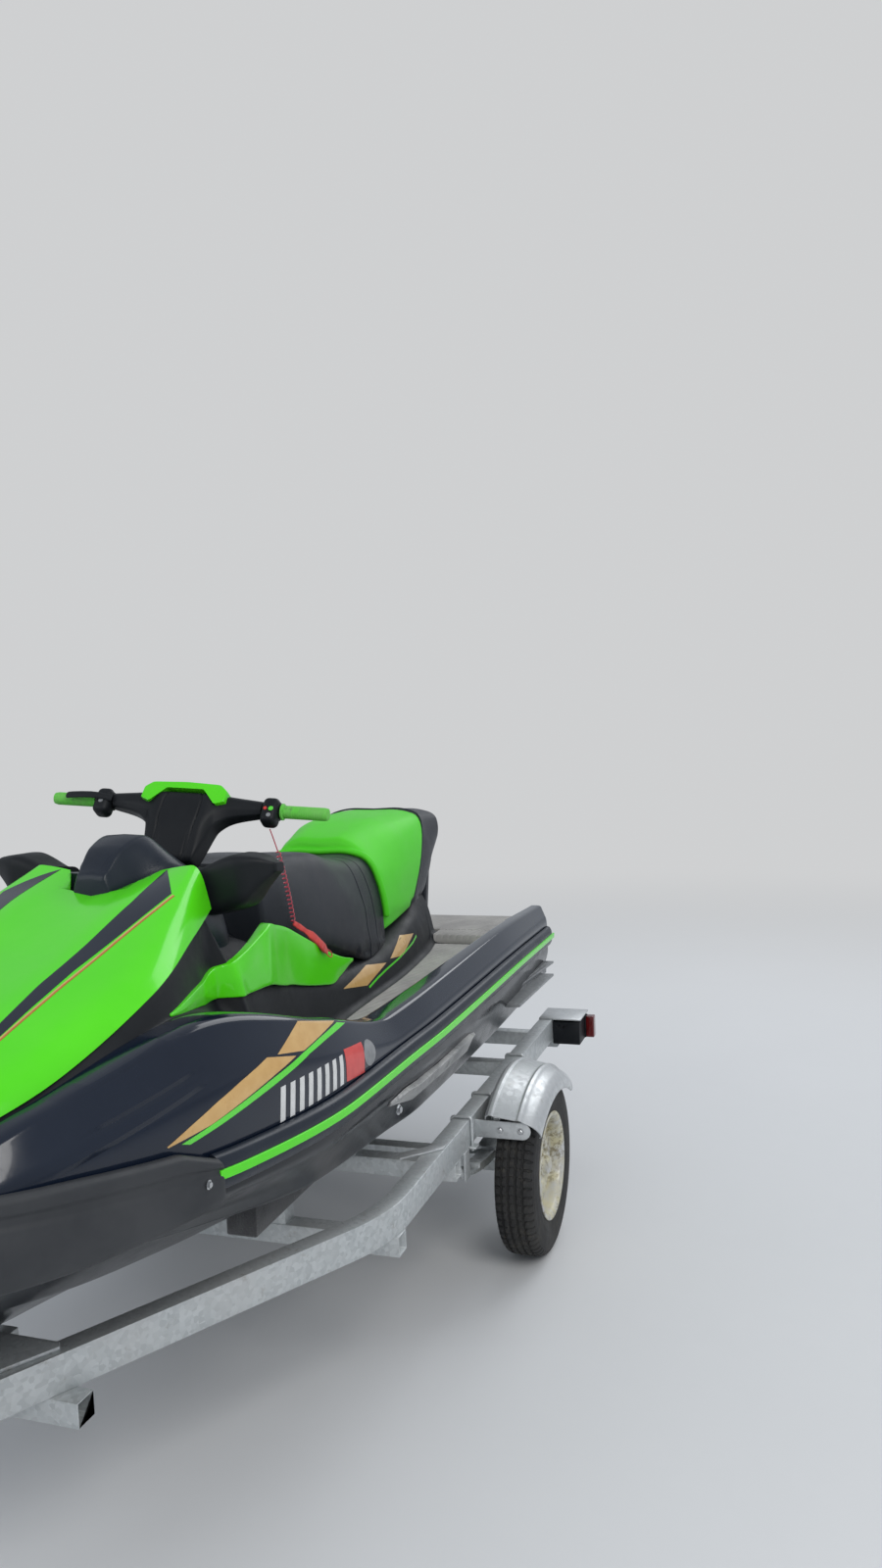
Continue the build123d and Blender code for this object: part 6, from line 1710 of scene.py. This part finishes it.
# Smooth line of order three through control points, read back from a curve with no bevel
def routeLine(name, points, resolution=24):
    curve = bpy.data.curves.new(name, "CURVE")
    curve.dimensions, curve.resolution_u = "3D", resolution
    spline = curve.splines.new("NURBS")
    spline.points.add(len(points) - 1)
    for p, q in zip(spline.points, points):
        p.co = (*q, 1)
    spline.order_u = 3
    spline.use_endpoint_u = True
    obj = bpy.data.objects.new(name, curve)
    bpy.context.scene.collection.objects.link(obj)
    bpy.context.view_layer.update()
    mesh = bpy.data.meshes.new_from_object(obj.evaluated_get(bpy.context.evaluated_depsgraph_get()))
    line = np.array([v.co[:] for v in mesh.vertices])
    bpy.data.objects.remove(obj)
    return line


# Points at even steps of arc length along a line
def evenly(line, count):
    step = np.linalg.norm(np.diff(line, axis=0), axis=1)
    reach = np.concatenate([[0], np.cumsum(step)])
    s = np.linspace(0, reach[-1], count)
    return np.stack([np.interp(s, reach, line[:, k]) for k in range(3)], 1), reach[-1]


# A tube of red cord along a line, laid between the bar and the craft
def hung(name, path, radius, sides, node):
    cord = painted(tubeObject(name, path, radius, sides), "cordRed")
    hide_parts(node)
    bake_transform(cord)
    return cord


# The curly stretch: points at even steps of the route's line, each moved out by the helix's radius,
# middle + r (cos a N + sin a B), with a turning once per pitch
def makeLanyard(look):
    start = (np.array(look["switch"]) * mm) @ barAxes + barMiddle - [0, 0, 2 * mm]
    route = np.array(look["route"], float) * mm + craftOrigin
    leadPoints = [start, start + (route[0] - start) * 0.5 + [0.0, 0.0008, 0], route[0]]
    leadLine = routeLine("leadLine", leadPoints, 12)
    thin = look["leadRadius"] * mm
    lead = hung("lanyardLead", leadLine, thin, 10, "lanyard_lead")
    line = routeLine("coilLine", route)
    length = evenly(line, 10)[1]
    turns = length / (look["pitch"] * mm)
    middle = evenly(line, int(turns * look["turnPoints"]))[0]
    step = np.arange(len(middle))
    radius = look["coilRadius"] * mm * smoothStep(np.minimum(step, step[::-1]), -4, 12)
    sides = tubeGrid(middle, 1.0, 4) - middle[:, None]
    a = step[:, None] * 2 * np.pi / look["turnPoints"]
    helix = middle + radius[:, None] * (np.cos(a) * sides[:, 0] + np.sin(a) * sides[:, 1])
    coil = hung("lanyardCoil", helix, thin, 8, "lanyard_coil")
    return lead, coil


# Float of folded webbing: a flat padded strip with stitched ends and a loop through a ring below.
# Its sections are rings |cos|^0.45, |sin|^0.6 along a bowed spine
def makeStrap(look):
    low, high = (np.array(p, float) * mm + craftOrigin for p in look["strap"][::-1])
    along = high - low
    length = np.linalg.norm(along)
    along /= length
    out = np.array(look["strapNormal"])
    out -= along * out.dot(along)
    out /= np.linalg.norm(out)
    across = np.cross(out, along)
    t = np.linspace(0, 1, 60)
    wide = 0.66 + 0.34 * smoothStep(t, 0.02, 0.10) - 0.34 * smoothStep(t, 0.55, 0.72)
    width = look["width"] / 2 * mm * (wide + 0.1 * np.sin(t * 9) ** 2)
    thick = (2.2 + 2.6 * smoothStep(t, 0.03, 0.14) * (1 - smoothStep(t, 0.5, 0.66))) * mm
    ring = circle(20)
    ring = np.sign(ring) * np.abs(ring) ** [0.45, 0.6]
    ripple = 0.35 * mm * np.sin(t * 60)[:, None]
    bow = look["bow"] * mm * np.sin(np.pi * t)
    spine = low + along * (t * length)[:, None] + out * bow[:, None]
    grid = spine[:, None] + across * (ring[:, 0] * width[:, None])[..., None]
    grid = grid + out * (ring[:, 1] * thick[:, None] + ripple)[..., None]
    body = ringSkin("strapBody", pillowEnds(grid, 0.003, 0.006), angle=50)
    s = np.linspace(-0.85, 0.85, 9)[:, None]
    stitches = []
    for place in look["stitchAt"]:
        wideHere, thickHere = np.interp(place, t, width), np.interp(place, t, thick)
        lift = thickHere + look["bow"] * mm * math.sin(math.pi * place) + 0.0003
        stitches.append(low + along * place * length + across * wideHere * s + out * lift)
    places = np.concatenate(stitches)
    oval = circle(6) * [1.0, 0.5]
    thread = np.concatenate([np.insert(oval, 2, 0, axis=1), np.insert(oval * 0.7, 2, 0.4, axis=1)]) * mm
    faces = gridFaces(2, 6, around=True) + [side[::-1] for side in endFaces(2, 6)]
    threads = scattered("threads", thread, faces, places, np.tile(out, (len(places), 1)))
    r = look["loop"] / 2 * mm
    u = np.linspace(0, 2 * np.pi, 40)[:-1, None]
    loop = low + along * r * (0.8 * np.cos(u) - 0.45) + across * r * 0.55 * np.sin(u) + out * 0.0010
    strap = joined("lanyardStrap", [body, threads, tubeObject("strapLoop", loop, 1.6 * mm, 8)])
    return dress(strap, "lanyardRed", "lanyard_red", "lanyard_strap")


lanyardStrap = makeStrap(lanyardLook)
lanyardLead, lanyardCoil = makeLanyard(lanyardLook)
print("stage: lanyard")

# Films on the skins. A film is a strip between two edges of points given in two axes, in
# millimetres, laid onto its skin from a start plane by Shrinkwrap.
# Columns: name, finish, skin, axis it is laid along, start plane, edge points one, edge points two
filmRows = [
    ("hoodWedge", "inkGloss", "hood", 2, 1150,
     [(2041, 144), (2201, 156), (2356, 152), (2501, 143), (2621, 148), (2850, 158)],
     [(2151, 222), (2309, 202), (2443, 181), (2570, 174), (2652, 172), (2856, 161)]),
    ("hoodPinPale", "tanFilm", "hood", 2, 1150,
     [(2154, 226.5), (2329, 203.5), (2497, 184), (2627, 175), (2856, 163)],
     [(2156, 230), (2331, 207), (2499, 187.5), (2629, 178.5), (2857, 165.5)]),
    ("hoodPinRed", "redFilm", "hood", 2, 1150,
     [(2156, 231), (2331, 208), (2499, 188.5), (2629, 179.5), (2857, 166)],
     [(2157, 233.5), (2332, 210.5), (2500, 191), (2630, 182), (2858, 168)]),
    ("sideGoldBlock", "tanFilm", "side", 1, 750, [(2249, 554), (2129, 589)], [(2155, 534), (1972, 546)]),
    ("sideGoldTaper", "tanFilm", "side", 1, 750,
     [(2285, 559), (2375, 542), (2451, 524), (2515, 504), (2574, 483)],
     [(2190, 534), (2277, 521), (2374, 504), (2471, 488), (2571, 481)]),
    ("sideGreenLine", "limeFilm", "side", 1, 750,
     [(1907, 528), (2040, 527), (2139, 523), (2264, 505), (2367, 490), (2449, 479), (2523, 470)],
     [(1952, 541), (2073, 537), (2167, 531), (2285, 516), (2386, 500), (2466, 488), (2542, 477)]),
    ("sideRedBlank", "redFilm", "side", 1, 750, [(1994, 488), (1999, 416)], [(1892, 475), (1903, 407)]),
    ("baseGoldRear", "tanFilm", "side", 1, 330, [(786, 488), (950, 447)], [(667, 470), (838, 432)]),
    ("baseGoldFront", "tanFilm", "side", 1, 330, [(1122, 466), (1340, 448)], [(990, 443), (1175, 417)]),
    ("baseGreenLine", "limeFilm", "side", 1, 330,
     [(640, 459), (700, 448), (859, 436), (985, 430), (1084, 422), (1166, 412)],
     [(640, 452), (700, 441), (859, 430), (985, 424), (1084, 416), (1166, 406)]),
]
filmLook = {
    "lift": 0.0006, "thick": 0.0004, "across": 6, "along": 40, "bars": 8, "barPitch": 34, "barWide": 17,
}
for n in range(filmLook["bars"]):
    shift, wide = filmLook["barPitch"] * n, filmLook["barWide"]
    high, low = (2262 - shift, 491 - 1.4 * n), (2270 - shift, 421 - 0.6 * n)
    behind = [(high[0] - wide, high[1]), (low[0] - wide, low[1])]
    filmRows.append((f"sideBar{n}", "whiteFilm", "side", 1, 750, [high, low], behind))
filmSkins = {"hood": (hoodShell, "gloss_green", "hood"), "side": (deckShell, "deck_black", craftBody)}


# The flat strip between two edges: edge one + share (edge two - edge one)
def layFilm(name, finish, target, axis, start, one, two):
    t = np.linspace(0, 1, filmLook["along"])
    edges = []
    for edge in (one, two):
        reach = np.linspace(0, 1, len(edge))
        edges.append(np.stack([np.interp(t, reach, values) for values in zip(*edge)], 1))
    share = np.linspace(0, 1, filmLook["across"])[None, :, None]
    flat = edges[0][:, None] + (edges[1] - edges[0])[:, None] * share
    return projected(name, np.insert(flat, axis, start, axis=2), finish, target, axis)


def projected(name, grid, finish, target, axis):
    skin, slot, body = filmSkins[target]
    points = grid * mm + craftOrigin
    film = meshObject(name, points.reshape(-1, 3), gridFaces(*grid.shape[:2]))
    wrap = film.modifiers.new("lay", "SHRINKWRAP")
    wrap.wrap_method, wrap.target, wrap.offset = "PROJECT", skin, filmLook["lift"]
    wrap.use_negative_direction, wrap.use_positive_direction = True, False
    wrap.use_project_x, wrap.use_project_y, wrap.use_project_z = (axis == k for k in range(3))
    settled(film)
    if film.data.polygons[0].normal[axis] < 0:
        film.data.flip_normals()
    withMirror(settled(addSolid(film, filmLook["thick"])))
    film.data.shade_smooth()
    film.data.set_sharp_from_angle(angle=math.radians(40))
    return dress(film, finish, slot, body=body)


for row in filmRows:
    layFilm(*row)

# Round grey blank beside the red one
u = np.linspace(0, 2 * np.pi, 40)[:, None]
r = np.linspace(0, 33, 8)[None]
roundGrid = np.stack([1863 + r * np.cos(u), np.full_like(r * u, 750), 441 + r * np.sin(u) * 0.9], -1)
projected("sideRound", roundGrid, "greyFilm", "side", 1)
print("stage: films")

# Light boxes at the rails' rear ends: a dark box with two holes under a bright cover plate, and a red lens
tailLook = {
    "box": ((65, 200), (580, 682), (408, 492)), "web": ((115, 125), (581, 681), (491, 501)),
    "plate": ((59, 205), (530, 688), (500, 505)), "holes": ((600, 473), (622, 473)), "holeRadius": 6.5,
    "lens": ((69, 105), (686, 717), (410, 490)), "base": ((68.5, 105.5), (682.2, 687), (409.5, 490.5)),
}


def groundBox(name, *spans):
    return spanBox(name, *spans, origin=groundOrigin)


def makeTail(look):
    (x0, x1), (y0, y1), (z0, z1) = look["box"]
    cutters = [groundBox("hollow", (x0 + 3, x1 - 3), (y0 + 3, y1 - 3), (z0 - 5, z1 - 3))]
    radius = look["holeRadius"] * mm
    for y, z in look["holes"]:
        centre = np.array([x1, y, z]) * mm + groundOrigin
        cutters.append(turnedObject("hole", [(-0.008, radius), (0.008, radius)], 0, centre, 24, closed=False))
    box = bevelled(carve(groundBox("tailBox", *look["box"]), *cutters), 2 * mm)
    web = groundBox("tailWeb", *look["web"])
    plate = bevelled(groundBox("tailPlate", *look["plate"]), 1.2 * mm)
    parts = [painted(box, "mattPlastic"), painted(web, "mattPlastic"), painted(plate, "zincBright")]
    tail = dress(withMirror(joined("tailBoxes", parts)), None, "matt_black", "tail_brackets")
    lens = painted(bevelled(groundBox("lens", *look["lens"]), 4 * mm, 3), "redLens")
    base = painted(bevelled(groundBox("lensBase", *look["base"]), 1 * mm), "mattPlastic")
    return tail, dress(withMirror(joined("tailLenses", [lens, base])), None, "red_lens", "tail_lights")


tailBoxes, tailLenses = makeTail(tailLook)

# U-bolts over the rails: square-bent rods round the tube with nuts on a plate below.
# Rail: y of its middle, width, height, lower side's z
clampLook = {
    "xs": (1035, 1240, 650), "rail": (555, 50, 76, 424), "radius": 4.5, "corner": 9, "gap": 0.3, "below": 16,
    "plate": (34, 92, 6),
}


def makeClamps(look):
    railY, width, height, base = look["rail"]
    r, corner, gap = look["radius"], look["corner"], look["gap"]
    half, top = width / 2 + r + gap, base + height + r + gap
    a = np.linspace(0, np.pi / 2, 7)
    arc = np.stack([-half + corner - corner * np.cos(a), top - corner + corner * np.sin(a)], 1)
    left = np.concatenate([[(-half, base - look["below"]), (-half, base + 20)], arc])
    line = np.concatenate([left, left[::-1] * [-1, 1]])
    plateX, plateY, thick = look["plate"]
    made = []
    for x in look["xs"]:
        path = np.insert(line, 0, x, axis=1) + [0, railY, 0]
        made.append(tubeObject("clampRod", path * mm + groundOrigin, r * mm, 10))
        spanX, spanY = (x - plateX / 2, x + plateX / 2), (railY - plateY / 2, railY + plateY / 2)
        plate = groundBox("clampPlate", spanX, spanY, (base - thick - gap, base - gap))
        made.append(bevelled(plate, 1 * mm, 1))
    clamps = dress(withMirror(joined("railClamps", made)), "zinc", "galvanised")
    nutZ = base - thick - 0.4
    places = [(x, s * (railY + e * half), nutZ) for x in look["xs"] for s in (1, -1) for e in (1, -1)]
    makeBolts("railClampNuts", 7.0, places, (0, 0, -1))
    return clamps


railClamps = makeClamps(clampLook)

# A bolt at each sponson's front end and at each rear end of the bow guard.
# Columns: name, radius, place from the keel
cornerBolts = [("sponsonBolt", 9.0, (1752, 566, 266)), ("guardBolt", 6.0, (2520, 498, 397))]
for name, radius, (x, y, z) in cornerBolts:
    for side, word in ((1, "Port"), (-1, "Starboard")):
        place = (x, side * y, z + craftOrigin[2] / mm)
        makeBolts(name + word, radius, [place], (0, side, 0), "steel", "stainless")

# A tab plate on each rail
tabLook = {"outline": [(1425, 578), (1470, 578), (1565, 488), (1530, 474)], "z": (500.6, 506.4)}
tabOutline = np.array(tabLook["outline"]) * mm + craftOrigin[:2]
tab = prismObject("railTabs", tabOutline, 2, *(z * mm for z in tabLook["z"]))
railTabs = dress(withMirror(bevelled(tab, 1 * mm)), "zincBright", "galvanised")
print("stage: tail boxes and clamps")

low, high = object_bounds()
